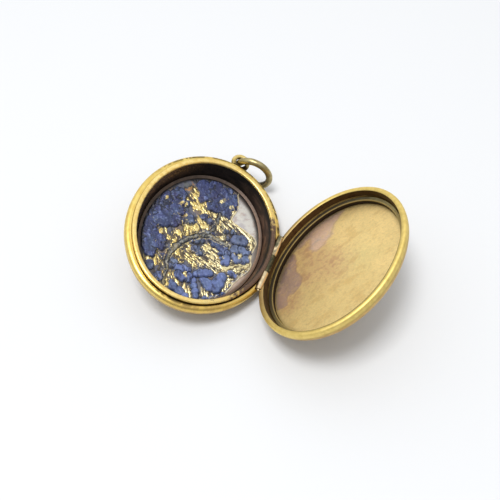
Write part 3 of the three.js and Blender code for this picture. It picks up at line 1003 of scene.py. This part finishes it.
# The foil's strokes run this way (radians) around these places (x, y, reach).
STROKE_WAYS = [(-1.05, 0.0, 0.0, 30.0), (-0.2, 2.2, -3.0, 3.6), (0.6, 8.3, -2.2, 2.0),
               (-0.8, -3.0, 6.3, 2.4), (-0.5, 4.6, 5.2, 2.4)]


def stroked(x, y, length, width, seed):
    """Noise drawn out into strokes, which turn from place to place."""
    total, weights = 0.0, 0.0
    for i, (way, cx, cy, reach) in enumerate(STROKE_WAYS):
        weight = near_spot(x, y, cx, cy, reach) * (0.25 if i == 0 else 1.5)
        u = math.cos(way) * x + math.sin(way) * y
        v = -math.sin(way) * x + math.cos(way) * y
        total = total + weight * fractal(u / length, v / width, seed=seed + i, octaves=3)
        weights = weights + weight ** 2
    return total / np.sqrt(weights)


def insert_relief(x, y):
    """Height in millimetres, linear colour and share of foil over the insert."""
    wx = x + 0.2 * clouds(x, y, 1.3, 401) + 0.07 * clouds(x, y, 0.4, 411)
    wy = y + 0.2 * clouds(x, y, 1.3, 431) + 0.07 * clouds(x, y, 0.4, 437)
    strokes = stroked(x, y, 0.95, 0.2, 451)
    wisps = stroked(x + 0.4 * noise3(x / 1.1, y / 1.1, 0, 455), y, 1.9, 0.4, 457)
    flecks = clouds(x, y, 0.27, 461, 2)
    crinkle = fractal((x + 0.4 * y) / 0.5, y / 0.8, seed=467)
    cloud = clouds(x, y, 2.4, 471)
    teal = smooth(-0.2, 0.6, clouds(x, y, 1.1, 477, 3))
    cracked = fractal(x / 1.35 + 0.07 * crinkle, y / 1.35, seed=487, octaves=3)
    cracks = smooth(0.27, 0.1, np.abs(cracked)) * smooth(-0.5, 0.1, crinkle + 0.5 * cloud)
    shaded = smooth(-0.1, 0.45, clouds(x, y, 1.0, 489, 3))
    painted_glints = smooth(0.7, 1.0, fractal(x / 0.4, y / 0.26, seed=493, octaves=2) + 0.6 * crinkle)

    # the ground between the leaves: dark paint, and foil drawn out into lines
    foil_depth, _, _ = heap(wx, wy, FOIL)
    foil = smooth(-0.04, 0.1, foil_depth + 0.55 * wisps - 0.1 + 0.12 * smooth(0, 5, x))
    lines = smooth(0.12, 0.03, np.abs(wisps)) * smooth(-0.8, -0.4, foil_depth)
    lines = lines * (1 - 0.7 * smooth(-2, -4, x) * smooth(-4, -6, y))
    foil = np.maximum(foil, lines)
    dashes = smooth(0.2, 0.32, strokes) * (1 - 0.3 * smooth(0.5, 0.9, foil_depth))
    foil = foil * (1 - 0.92 * dashes)
    height = 0.04 + 0.04 * wisps + 0.12 * foil
    colour = coated(
        x.size, (84, 86, 100),
        ((40, 38, 44), smooth(-0.4, 0.4, crinkle)),
        ((116, 98, 82), 0.7 * smooth(0.0, 0.8, cloud + 0.3 * wisps)),
        ((62, 50, 38), 0.85 * smooth(-0.4, 0.1, foil_depth)),
    )

    # the leaves, outlined in painted shade, with painted shadow lower right and painted highlight
    # upper left
    blue = ((58, 67, 112), (34, 39, 68), (98, 110, 154))
    layers = [(DULL_LEAVES, 0.22, 1.0, ((76, 86, 112), (44, 50, 66), (118, 128, 150))),
              (LEAVES, 0.3, 1.0, blue)]
    layers += [(petal, 0.34, 0.35, blue) for petal in PETALS]
    for lobes, tall, rough, hues in layers:
        lx, ly = x + rough * (wx - x), y + rough * (wy - y)
        depth, top, crease = heap(lx, ly, lobes)
        behind, _, _ = heap(lx - 0.12, ly + 0.17, lobes)
        crease = crease * smooth(-0.1, 0.5, cloud + 0.6 * crinkle) * (rough == 1)
        inside = smooth(-0.02, 0.06, depth)
        round_top = smooth(0.0, 0.3, depth)
        folds = smooth(0.12, 0.02, np.abs(crinkle)) * smooth(-0.25, 0.35, cloud + 0.3 * flecks)
        lumps = tall * (0.75 * round_top + 0.1 * top) - 0.12 * crease * round_top
        lumps += rough * (0.05 * crinkle + 0.015 * flecks)
        lumps -= rough ** 2 * (0.07 * folds + 0.1 * cracks)
        # a dark outline of painted shade, a painted shadow to the lower right and a painted
        # highlight on the upper left edge
        outline = smooth(0.14, 0.02, np.abs(depth + 0.03))
        painted_shadow = smooth(-0.05, 0.12, behind) * (1 - inside)
        painted_highlight = smooth(0.02, 0.1, depth) * smooth(0.08, -0.08, behind)
        hue = coated(
            x.size, hues[0],
            ((66, 62, 112), 0.6 * smooth(-0.1, 0.7, cloud) * smooth(1, -1, x)),
            # painted sheen, lighter and greyer towards the lower right
            ((100, 116, 168), 0.85 * smooth(-2.0, 2.0, x - y - 5 + 2 * cloud)),
            ((106, 118, 144), 0.7 * smooth(3.5, 6.0, x) * smooth(-3, 0, y)),
            ((62, 82, 104), 0.45 * teal),
            # painted shade in the crinkle's hollows and painted highlight on its crests
            (hues[1], 0.8 * smooth(0.1, 0.9, -crinkle - 0.3 * flecks)),
            (hues[2], 0.6 * smooth(0.25, 1.0, 0.9 * crinkle + 0.2 * flecks)),
            ((34, 40, 78), 0.65 * rough * shaded),
            # painted glints on the crests and the painted highlight on the upper left edges
            ((142, 158, 202), 0.35 * painted_glints),
            ((134, 146, 188), 0.5 * painted_highlight),
            # painted shade in the creases, folds and cracks
            ((20, 22, 36), 0.85 * np.clip(crease, 0, 1)),
            ((20, 22, 38), rough ** 2 * np.maximum(0.8 * folds, 0.9 * cracks)),
        )
        height = over(height, 0.1 + lumps, inside) - 0.05 * outline - 0.05 * painted_shadow
        dark = np.clip(0.6 * outline + 0.9 * painted_shadow, 0, 1)
        colour = tinted(over(colour, hue, inside), (12, 13, 22), dark)
        foil = foil * (1 - inside) * (1 - 0.9 * painted_shadow)
        thread = smooth(0.09, 0.02, np.abs(wisps + 0.2)) * smooth(0.6, 0.05, depth) * inside * rough
        foil = np.maximum(foil, 0.8 * thread * smooth(-0.1, 0.4, flecks + 0.5 * cloud))

    for thickest, share, points in STEMS:
        width = thickest * (0.6 + 0.4 * smooth(-9, -5, y))
        far = stem_distance(wx, wy, points)
        ridge = np.sqrt(np.clip(1 - (far / width) ** 2, 0, 1))
        on = smooth(0.0, 0.06, width - far)
        # a painted shadow along both sides of the stem
        line = smooth(0.0, 0.25, 1.5 - far / width) * (1 - on) * smooth(-0.9, -0.5, crinkle)
        thread = near(far, width + 0.3, 0.09) * smooth(-0.3, 0.2, cloud + 0.6 * flecks)
        thread *= (2 * width) ** 2
        height = over(height, 0.1 + 0.16 * ridge + 0.05 * crinkle + 0.02 * flecks, on)
        height += 0.06 * thread - 0.08 * line
        hue = coated(
            x.size, (86, 96, 110),
            ((46, 52, 60), smooth(-0.3, 0.5, -crinkle - 0.5 * flecks)),
            ((124, 108, 78), 0.5 * smooth(0.1, 0.6, wisps)),
            ((124, 132, 146), 0.6 * smooth(0.2, 0.9, flecks + 0.5 * crinkle)),
        )
        colour = tinted(over(colour, hue, on), (12, 13, 20), 0.95 * line)
        lit = on * share * smooth(-0.3, 0.3, flecks + ridge - 0.6)
        foil = np.maximum(foil * (1 - on), np.maximum(lit, thread)) * (1 - line)

    dots, dot_top, _ = heap(wx, wy, FOIL_DOTS)
    dot = smooth(-0.05, 0.1, dots + 0.16 * flecks) * (1 - 0.8 * dashes)
    height += 0.12 * dot_top * dot
    foil = np.maximum(foil, dot)

    # a worn corner with rusty marks, near the bail end
    apart = np.hypot((wx + 6.9) * 0.8, wy - 8.9) + 0.3 * crinkle + 0.15 * cloud
    worn = smooth(0.0, 0.4, 0.8 - apart)
    rust = smooth(0.0, 0.3, 0.34 - np.abs(apart - 1.0) + 0.3 * cloud + 0.2 * flecks)
    rust *= smooth(-7.8, -6.6, wx)
    colour = tinted(colour, (108, 112, 114), 0.7 * worn * smooth(-0.6, 0.3, crinkle))
    colour = tinted(colour, (168, 124, 70), 0.8 * rust * (1 - 0.7 * worn))
    foil *= (1 - worn) * (1 - 0.8 * rust)
    height *= 1 - 0.7 * worn

    gold = coated(
        x.size, (228, 204, 128),
        ((244, 230, 178), smooth(-3, 5, x)),
        ((250, 238, 190), 0.6 * smooth(0.2, 0.9, flecks)),
        ((160, 126, 76), 0.7 * smooth(0.0, 0.9, -flecks)),
    )
    foil = np.clip(foil, 0, 1)
    colour = over(colour, gold, foil)

    # the border sinks into the shadow and dirt under the picture ring
    radius = oval_radius(x, y)
    sunk = smooth(10.1, 10.5, radius + 0.1 * crinkle)
    sunk *= smooth(-0.75, -0.1, np.sin(np.arctan2(y, x) - 0.5))
    return height, tinted(colour, (18, 16, 18), 0.9 * sunk), foil * (1 - sunk)


def insert_outline():
    """Most of an oval, closed by a ragged line where the paper was trimmed."""
    start = math.acos(INSERT["trim_from"] / INSERT["radius"])
    end = 2 * math.pi - math.acos(INSERT["trim_to"] / INSERT["radius"])
    oval = oval_points(INSERT["radius"], np.linspace(start, end, 150))
    trim = spline_through([tuple(oval[-1])] + INSERT_TRIM + [tuple(oval[0])], 14)[1:-1]
    ragged = trim + 0.07 * np.stack([clouds(*trim.T, 0.5, seed, 2) for seed in (491, 497)], 1)
    return np.concatenate([oval, ragged])


outline = insert_outline()
points, faces, upper = sheet_from_grid(
    outline, PITCH["insert"], INSERT["top"], INSERT["bottom"])
px, py = points[:, 0], points[:, 1]
height, insert_colour, insert_foil = insert_relief(px, py)
to_edge = edge_distance(px, py, outline)
height = np.clip(height, -0.04, 0.5) * smooth(0.2, 0.45, to_edge)
points[:upper, 2] += height[:upper]
# pale foil frays along the trimmed edge
lace = smooth(INSERT["radius"] - 0.1, INSERT["radius"] - 0.5, oval_radius(px, py))
lace *= (px > 2.6) * smooth(0.5, 0.1, to_edge + 0.3 * clouds(px, py, 0.6, 503, 3))
insert_colour = tinted(insert_colour, (240, 226, 186), 0.8 * lace)
insert_foil = np.maximum(insert_foil, 0.5 * lace)


def insert_fields(p, radius, angle):
    return {"paint": insert_colour, "foil": insert_foil}


insert_mesh = bpy.data.meshes.new("insert")
insert_mesh.from_pydata([tuple(q) for q in points], [], faces)
piece("insert_relief", insert_mesh, CASE_AT, "case", INSERT_PAINT,
      ["floral_insert"], insert_fields, sharp=80)


# ---------------------------------------------------------------- the hinge
def sleeve(inside, outside, low, high, edge):
    """The section of a tube, or of a rod, with its outer edges rounded."""
    return rounded([(inside, low), (outside, low), (outside, high), (inside, high)],
                   [0, edge, edge, 0])


def along_hinge(points, middle, x):
    """Turns a shape made about z to lie along the hinge."""
    return np.stack([points[:, 0] + x, points[:, 2] + middle, -points[:, 1]], 1)


def knuckle(name, start, end, half, x, body, slot, material, replaces, crust_side, seed, dirty=1.0):
    """A knuckle with a crust of solder and dirt on one side of it."""
    length = end - start - GAP
    section = sleeve(HINGE["bore"], HINGE["knuckle"], -length / 2, length / 2, 0.09)
    points, faces = turned(wall_rows(section), steps=KNUCKLE_SIDES, oval=False)
    lumps = fractal(*(points * (2.2, 2.2, 1.4)).T, seed=seed)
    crust = smooth(0.05, 0.5, points[:, :2] @ crust_side) * smooth(-0.3, 0.6, lumps)
    outer = np.hypot(points[:, 0], points[:, 1]) > HINGE["bore"] + 0.1
    points[:, :2] *= (1 + outer * (0.07 * crust + 0.012 * lumps))[:, None]
    points = along_hinge(points, (start + end) / 2, x)

    def fields(p, radius, angle):
        facing = np.stack([p[:, 0] - x, -p[:, 2]], 1) @ crust_side
        rough = fractal(*(p * (2.2, 1.4, 2.2)).T, seed=seed + 5)
        ends = np.minimum(np.abs(p[:, 1] - start), np.abs(p[:, 1] - end))
        dirt_and_shade = smooth(-0.05, 0.3, facing) * smooth(-0.7, 0.1, rough)
        dirt_and_shade += 0.9 * smooth(0.22, 0.04, ends)
        return {"grime_and_shade": np.clip(dirt_and_shade * dirty, 0, 1), "wear_and_glint": np.full(len(p), 0.4)}

    piece(name, mesh_of(points, faces), half, body, material, replaces, fields)


knuckle("knuckle_bail_end", *KNUCKLE_ENDS[2:4], CASE_AT, HINGE["x"], "case", "gilt_brass",
        GILT_KNUCKLE, ["case_knuckle_upper"], (-0.9, -0.3), 501)
knuckle("knuckle_far_end", *KNUCKLE_ENDS[0:2], CASE_AT, HINGE["x"], "case", "gilt_brass",
        GILT_KNUCKLE, ["case_knuckle_lower"], (-0.9, -0.3), 521, 0.35)
knuckle("knuckle_middle", *KNUCKLE_ENDS[1:3], LID_AT, -HINGE["x"], "lid", "olive_brass",
        OLIVE_KNUCKLE, ["lid_knuckle"], (0.9, -0.3), 541)

pin_section = sleeve(0, HINGE["pin"], KNUCKLE_ENDS[0] - PIN_OVERHANG,
                     KNUCKLE_ENDS[3] + PIN_OVERHANG, 0.1)
pin_points, pin_faces = turned(pin_section, closed=False, steps=24, oval=False)
piece("pin", mesh_of(along_hinge(pin_points, 0, HINGE["x"]), pin_faces), CASE_AT, "case",
      GILT_KNUCKLE, ["hinge_pin"])


# ---------------------------------------------------------------- the lid
def lid_rim_fields(p, radius, angle):
    """The lid's rim: where its inner wall begins, painted shade dimming the highlight on its crown
    away from the hinge, darker low outside.
    """
    lower_right = near_angle(angle, -0.7, 0.8)
    reach = LID_WALL["inside"] + 0.02 + 0.2 * lower_right
    wall = smooth(reach + 0.1, reach, radius)
    wall = np.maximum(wall, smooth(-0.1, -0.35, p[:, 2]) * (radius < 13.1))
    low = smooth(-0.7, -1.35, p[:, 2]) * (radius > 13.2)
    hinge_side = smooth(0.35, 0.95, -np.cos(angle))
    # painted shade that dims the highlight on the crown's inner slope, on the lower right away from
    # the hinge
    painted_crown_shade = 0.6 * near_angle(angle, -0.7, 0.9) * near(radius, 13.2, 0.25)
    return {"inner": wall, "grime_and_shade": np.maximum(0.5 * low, painted_crown_shade),
            "stain": 0.5 + 0.5 * np.cos(angle - 2.2), "copper": hinge_side}


piece("lid_dome", cut(mesh_of(*turned(shell_section(LID), closed=False)), *lid_cutters),
      LID_AT, "lid", GILT_SHELL, ["lid_shell"], warp=LID_BEND)


def lid_rim_shader():
    """The lid's rim: satin gilt outside and over the edge, brown down its inner wall."""
    s = Shader("lid_rim_and_wall")
    mottle = s.noise(1.1, 5, 0.6)
    fine = s.noise(9.0, 4, 0.6)
    patches = s.noise(0.3, 5, 0.6, None, 0.5)
    around = s.streaks((4, 0, 0), (5, 5, 18))
    gold = s.mix(s.remap(mottle, 0.3, 0.7), rgb(222, 196, 114), rgb(238, 214, 134))
    gold = s.mix(s.times(s.remap(patches, 0.55, 0.75), 0.4), gold, rgb(146, 122, 66))
    gold = s.mix(s.times(s.field("grime_and_shade"), 0.8), gold, rgb(104, 82, 48))
    gold = s.mix(s.times(s.field("copper"), 0.8), gold, rgb(160, 132, 92))
    wall = s.mix(s.remap(around, 0.3, 0.72), rgb(92, 78, 50), rgb(124, 106, 68))
    stain = s.times(s.field("stain"), s.most(s.remap(mottle, 0.42, 0.62), 0.8))
    wall = s.mix(stain, wall, rgb(66, 46, 30))
    edge = s.plus(s.field("inner"), s.remap(mottle, 0.2, 0.8, -0.15, 0.15))
    edge = s.remap(edge, 0.35, 0.62)
    colour = s.mix(edge, gold, wall)
    rough = s.remap(fine, 0.3, 0.7, 0.52, 0.6)
    normal = s.bump(mottle, 0.00002, 0.3, s.bump(fine, 0.000008, 0.4))
    return s.finish(Base_Color=colour, Metallic=1.0, Roughness=rough, Normal=normal)


lid_rim = wall_rows(rim_section(LID, LID_WALL["inside"], LID_WALL["inside_foot"]))
piece("lid_rim_band", cut(mesh_of(*turned(lid_rim)), *lid_cutters),
      LID_AT, "lid", lid_rim_shader(), ["lid_rim"], lid_rim_fields, warp=LID_BEND)

heel_in, heel_up = LID_FRAME_HEEL
lid_ring_section = rounded(
    [
        (LID_FRAME["inside"], -LID_FRAME["bottom"]),
        (LID_FRAME["outside"] - heel_in, -LID_FRAME["bottom"]),
        (LID_FRAME["outside"], -LID_FRAME["bottom"] + heel_up),
        (LID_FRAME["outside"], -LID_FRAME["top"]),
        (LID_FRAME["inside"], -LID_FRAME["inside_top"]),
    ],
    [0, 0, 0, 0.07, 0.06],
)


def lid_ring_fields(p, radius, angle):
    """The lid's picture ring: a rubbed edge with a painted highlight, painted highlight away from
    the hinge, painted shade inside, greenish in part.
    """
    z = p[:, 2]
    edge = near(radius, LID_FRAME["inside"], 0.07) * near(z, -LID_FRAME["inside_top"], 0.08)
    # painted shade down the ring's inner face, below its top edge
    under = smooth(-LID_FRAME["inside_top"] - 0.06, -LID_FRAME["inside_top"] - 0.2, z)
    green = near(angle, 0.9, 0.6)
    # painted highlight, brighter away from the hinge
    bright = smooth(-0.75, 0.45, np.cos(angle + 0.7))
    hinge_side = 0.85 * smooth(0.1, 0.9, -np.cos(angle + 0.1)) * (1 - edge)
    return {"wear_and_glint": np.clip(1.1 * edge + 0.7 * bright, 0, 1), "stain": 0.8 * green,
            "grime_and_shade": np.maximum(under * (radius < LID_FRAME["inside"] + 0.1), hinge_side)}


piece("lid_picture_ring", mesh_of(*turned(wall_rows(lid_ring_section))), LID_AT, "lid",
      LID_RING, ["lid_picture_frame"], lid_ring_fields, warp=LID_BEND)

STAIN_LOW = [(-12.2, 3.2), (-10.7, 4.0), (-9.8, 2.4), (-8.6, 0.1), (-7.0, -1.8), (-6.4, -3.6),
             (-6.9, -5.1), (-8.0, -5.8), (-7.7, -7.3), (-8.7, -8.6), (-10.0, -8.8), (-12.4, -6.0)]
STAIN_HIGH = [(-11.2, 4.2), (-9.6, 6.3), (-8.6, 6.9), (-7.2, 4.4), (-5.7, 4.2), (-4.7, 5.6),
              (-3.9, 7.6), (-4.2, 10.0), (-3.6, 13.4), (-7.5, 13.0), (-11.0, 8.0)]
# Where the brass has blushed like copper: x, y, reach.
COPPER = [(-6.4, 3.0, 2.4), (-4.6, 1.5, 2.9), (-8.4, 5.0, 2.0), (-1.6, 0.4, 2.9),
          (-7.0, -7.2, 1.8), (-5.4, -1.5, 2.0)]


def lid_plate_fields(p, radius, angle):
    """The lid's plate: satin brass with a blush of copper and two old stains."""
    x, y = p[:, 0], p[:, 1]
    wx = x + 0.3 * clouds(x, y, 1.6, 601)
    wy = y + 0.3 * clouds(x, y, 1.6, 607)
    cloud = clouds(x, y, 4.5, 611)
    slant = fractal((x + y) / 4.0, (x - y) / 1.8, seed=617)
    grain = clouds(x, y, 0.45, 619)
    tint = np.max([near_spot(wx, wy, *spot) for spot in COPPER], 0)
    specked = 0.5 + 0.5 * smooth(-0.4, 0.7, grain + 0.4 * slant)
    colour = coated(
        len(p), (236, 208, 142),
        ((246, 216, 148), smooth(-0.3, 1.0, cloud + 0.08 * y)),
        ((236, 216, 148), 0.6 * near_spot(x, y, 3, 2, 4)),
        ((216, 178, 110), 0.4 * smooth(0.1, 1.0, slant)),
        ((212, 178, 120), 0.3 * smooth(0.2, 1.0, grain)),
        ((204, 158, 120), 0.8 * np.sqrt(tint) * specked),
    )
    stains = ((STAIN_HIGH, (230, 196, 168), (210, 186, 172), 0.5),
              (STAIN_LOW, (196, 164, 142), (176, 154, 146), 0.14))
    for border, hue, cooler, soft in stains:
        far = edge_distance(wx, wy, spline_through(border + border[:1], 6)[:-1])
        on = smooth(-soft, soft, far + 0.5 * soft * grain)
        on *= 1 - 0.35 * smooth(0.0, 0.9, grain + 0.5 * slant)
        shade = coated(
            len(p), hue,
            (cooler, smooth(-0.2, 0.8, cloud + 0.5 * slant)),
            ((190, 150, 128), 0.3 * smooth(0.2, 1.0, slant)),
            ((150, 124, 116), 0.5 * smooth(10.0, 11.8, radius + 0.5 * cloud)),
        )
        colour = tinted(over(colour, shade, on), (186, 146, 116), 0.35 * near(far, 0.05, 0.14))
    rim = smooth(11.2, 12.0, radius + 0.2 * cloud)
    return {"paint": tinted(colour, (190, 166, 112), 0.6 * rim)}


points, faces, _ = backing_plate(LID_PLATE, PITCH["lid_plate"])
px, py = points[:, 0], points[:, 1]
dents = 0.05 * clouds(px, py, 5, 621, 1) + 0.012 * clouds(px, py, 1.2, 631, 1)
points[:, 2] += dents * smooth(12.0, 10.5, oval_radius(px, py))
piece("lid_plate", mesh_of(points, faces), LID_AT, "lid", FLOOR_PAINT,
      ["lid_backing_plate"], lid_plate_fields, sharp=60)


# ---------------------------------------------------------------- the bail and the jump ring
def torus(radius, wire, around=96, across=24, wobble=0.0, seed=0):
    """A ring of round wire, whose thickness varies a little."""
    a, b = turns(around)[:, None], turns(across)
    thick = wire * (1 + wobble * noise3(2 * np.cos(a), 2 * np.sin(a), 0, seed))
    reach = radius + thick * np.cos(b)
    points = np.stack([reach * np.cos(a), reach * np.sin(a), thick * np.sin(b)], -1).reshape(-1, 3)
    faces = []
    for i, j in itertools.product(range(around), range(across)):
        here, after = i * across, (i + 1) % around * across
        up = (j + 1) % across
        faces.append((here + j, after + j, after + up, here + up))
    return points, faces


bail_points, bail_faces = torus(BAIL["radius"], BAIL["wire"], wobble=0.08, seed=701)
bail_points = bail_points + (BAIL["x"], BAIL["y"], BAIL["z"])
rim_plug = mesh_of(*turned([(0, -4), (HALF_WIDTH + GAP, -4), (HALF_WIDTH + GAP, 2), (0, 2)],
                           closed=False))


def bail_fields(p, radius, angle):
    """The bail: dirt at its foot, and painted shade inside the loop and down its hinge side."""
    foot = smooth(17.2, 16.4, p[:, 1])
    # painted shade inside the loop and down its side towards the hinge
    inside = smooth(1.1, 0.9, np.hypot(p[:, 0] - BAIL["x"], p[:, 1] - BAIL["y"]))
    painted_shade_side = smooth(0.0, 1.2, p[:, 0] - BAIL["x"])
    return {"grime_and_shade": np.clip(0.7 * foot + inside + 0.5 * painted_shade_side, 0, 1), "wear_and_glint": np.zeros(len(p))}


piece("bail", cut(mesh_of(bail_points, bail_faces), rim_plug), CASE_AT, "case",
      BAIL_GILT, ["bail_loop"], bail_fields)

ring_points, ring_faces = torus(JUMP_RING["radius"], JUMP_RING["wire"], 160, 28, 0.03, 711)
saw, blade = JUMP_RING["saw_cut"] / 2, JUMP_RING["blade"]
cosine, sine = math.cos(JUMP_RING["saw_turn"]), math.sin(JUMP_RING["saw_turn"])
saw_slot = []
for px, py in ((-saw, -blade), (saw, -blade), (saw, blade), (-saw, blade)):
    py -= JUMP_RING["radius"]
    saw_slot.append((px * cosine - py * sine, px * sine + py * cosine))
blade_points, blade_faces = prism_along_y(saw_slot, -blade, blade)
blade_points = [(x, y, z) for x, z, y in blade_points]
ring_mesh = cut(mesh_of(ring_points, ring_faces), mesh_of(blade_points, blade_faces))
reach = math.sqrt(JUMP_RING["radius"] ** 2 - JUMP_RING["drop"] ** 2) - 0.12
ring_middle = Vector((BAIL["x"] + reach, BAIL["y"], BAIL["z"] - JUMP_RING["drop"]))
ring_mesh.transform(Matrix.Translation(ring_middle) @ Matrix.Rotation(math.pi / 2, 4, "X"))


def ring_fields(p, radius, angle):
    """The jump ring: dirt inside, wear outside."""
    from_axis = np.hypot(p[:, 0] - ring_middle.x, p[:, 2] - ring_middle.z)
    inside = smooth(JUMP_RING["radius"] - 0.3, JUMP_RING["radius"] - 0.55, from_axis)
    return {"grime_and_shade": inside, "wear_and_glint": 1 - inside}


piece("ring_wire", ring_mesh, CASE_AT, "ring", OLIVE, ["jump_ring"], ring_fields)

# ---------------------------------------------------------------- floor, light and camera
FLOOR_HALF = 1.5
floor_mesh = bpy.data.meshes.new("floor")
corners = [(x * FLOOR_HALF, y * FLOOR_HALF, 0) for x, y in ((-1, -1), (1, -1), (1, 1), (-1, 1))]
floor_mesh.from_pydata(corners, [], [(0, 1, 2, 3)])
floor = bpy.data.objects.new("floor", floor_mesh)
scene = bpy.context.scene
scene.collection.objects.link(floor)
table = Shader("pale_table").finish(Base_Color=(0.66, 0.666, 0.676, 1), Roughness=0.7)
floor_mesh.materials.append(table)
floor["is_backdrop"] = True

# A pale room, brighter towards one side, above.
scene.view_settings.view_transform = "Standard"
world = bpy.data.worlds.new("studio")
scene.world = world
world.use_nodes = True
nodes, links = world.node_tree.nodes, world.node_tree.links
background = nodes["Background"]
direction = nodes.new("ShaderNodeTexCoord")
facing = nodes.new("ShaderNodeVectorMath")
facing.operation = "DOT_PRODUCT"
facing.inputs[1].default_value = (-0.25, 0.5, 0.83)
ramp = nodes.new("ShaderNodeMapRange")
for key, value in (("From Min", -0.6), ("From Max", 1.0), ("To Min", 0.16), ("To Max", 1.12)):
    ramp.inputs[key].default_value = value
links.new(direction.outputs["Generated"], facing.inputs[0])
links.new(facing.outputs["Value"], ramp.inputs["Value"])
links.new(ramp.outputs[0], background.inputs["Strength"])
background.inputs["Color"].default_value = (0.97, 0.985, 1.0, 1)


def stand_off(holder, target, azimuth, elevation, distance):
    """Places a light or a camera at a distance from its target, turned to face it."""
    a, e = math.radians(azimuth), math.radians(elevation)
    back = Vector((math.sin(a) * math.cos(e), -math.cos(a) * math.cos(e), math.sin(e)))
    holder.location = target + back * distance
    holder.rotation_mode = "QUATERNION"
    holder.rotation_quaternion = (-back).to_track_quat("-Z", "Y")
    scene.collection.objects.link(holder)


low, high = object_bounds()
centre = (low + high) / 2

key_light = bpy.data.lights.new("key", "AREA")
key_light.shape = "RECTANGLE"
key_light.size = key_light.size_y = 0.18
key_light.energy = 2.1
stand_off(bpy.data.objects.new("key", key_light), centre, 330, 78, 0.55)

CAMERA_AZIMUTH, CAMERA_ELEVATION = 20.55, 55.36
CAMERA_DISTANCE = 0.1432
AIM = centre + Vector((-0.00165, -0.00306, -0.00158))
camera_data = bpy.data.cameras.new("camera")
camera_data.lens = 59.0
camera_data.sensor_width = 36
camera_data.clip_start = 0.01
camera_data.clip_end = 10
camera = bpy.data.objects.new("camera", camera_data)
stand_off(camera, AIM, CAMERA_AZIMUTH, CAMERA_ELEVATION, CAMERA_DISTANCE)
scene.camera = camera
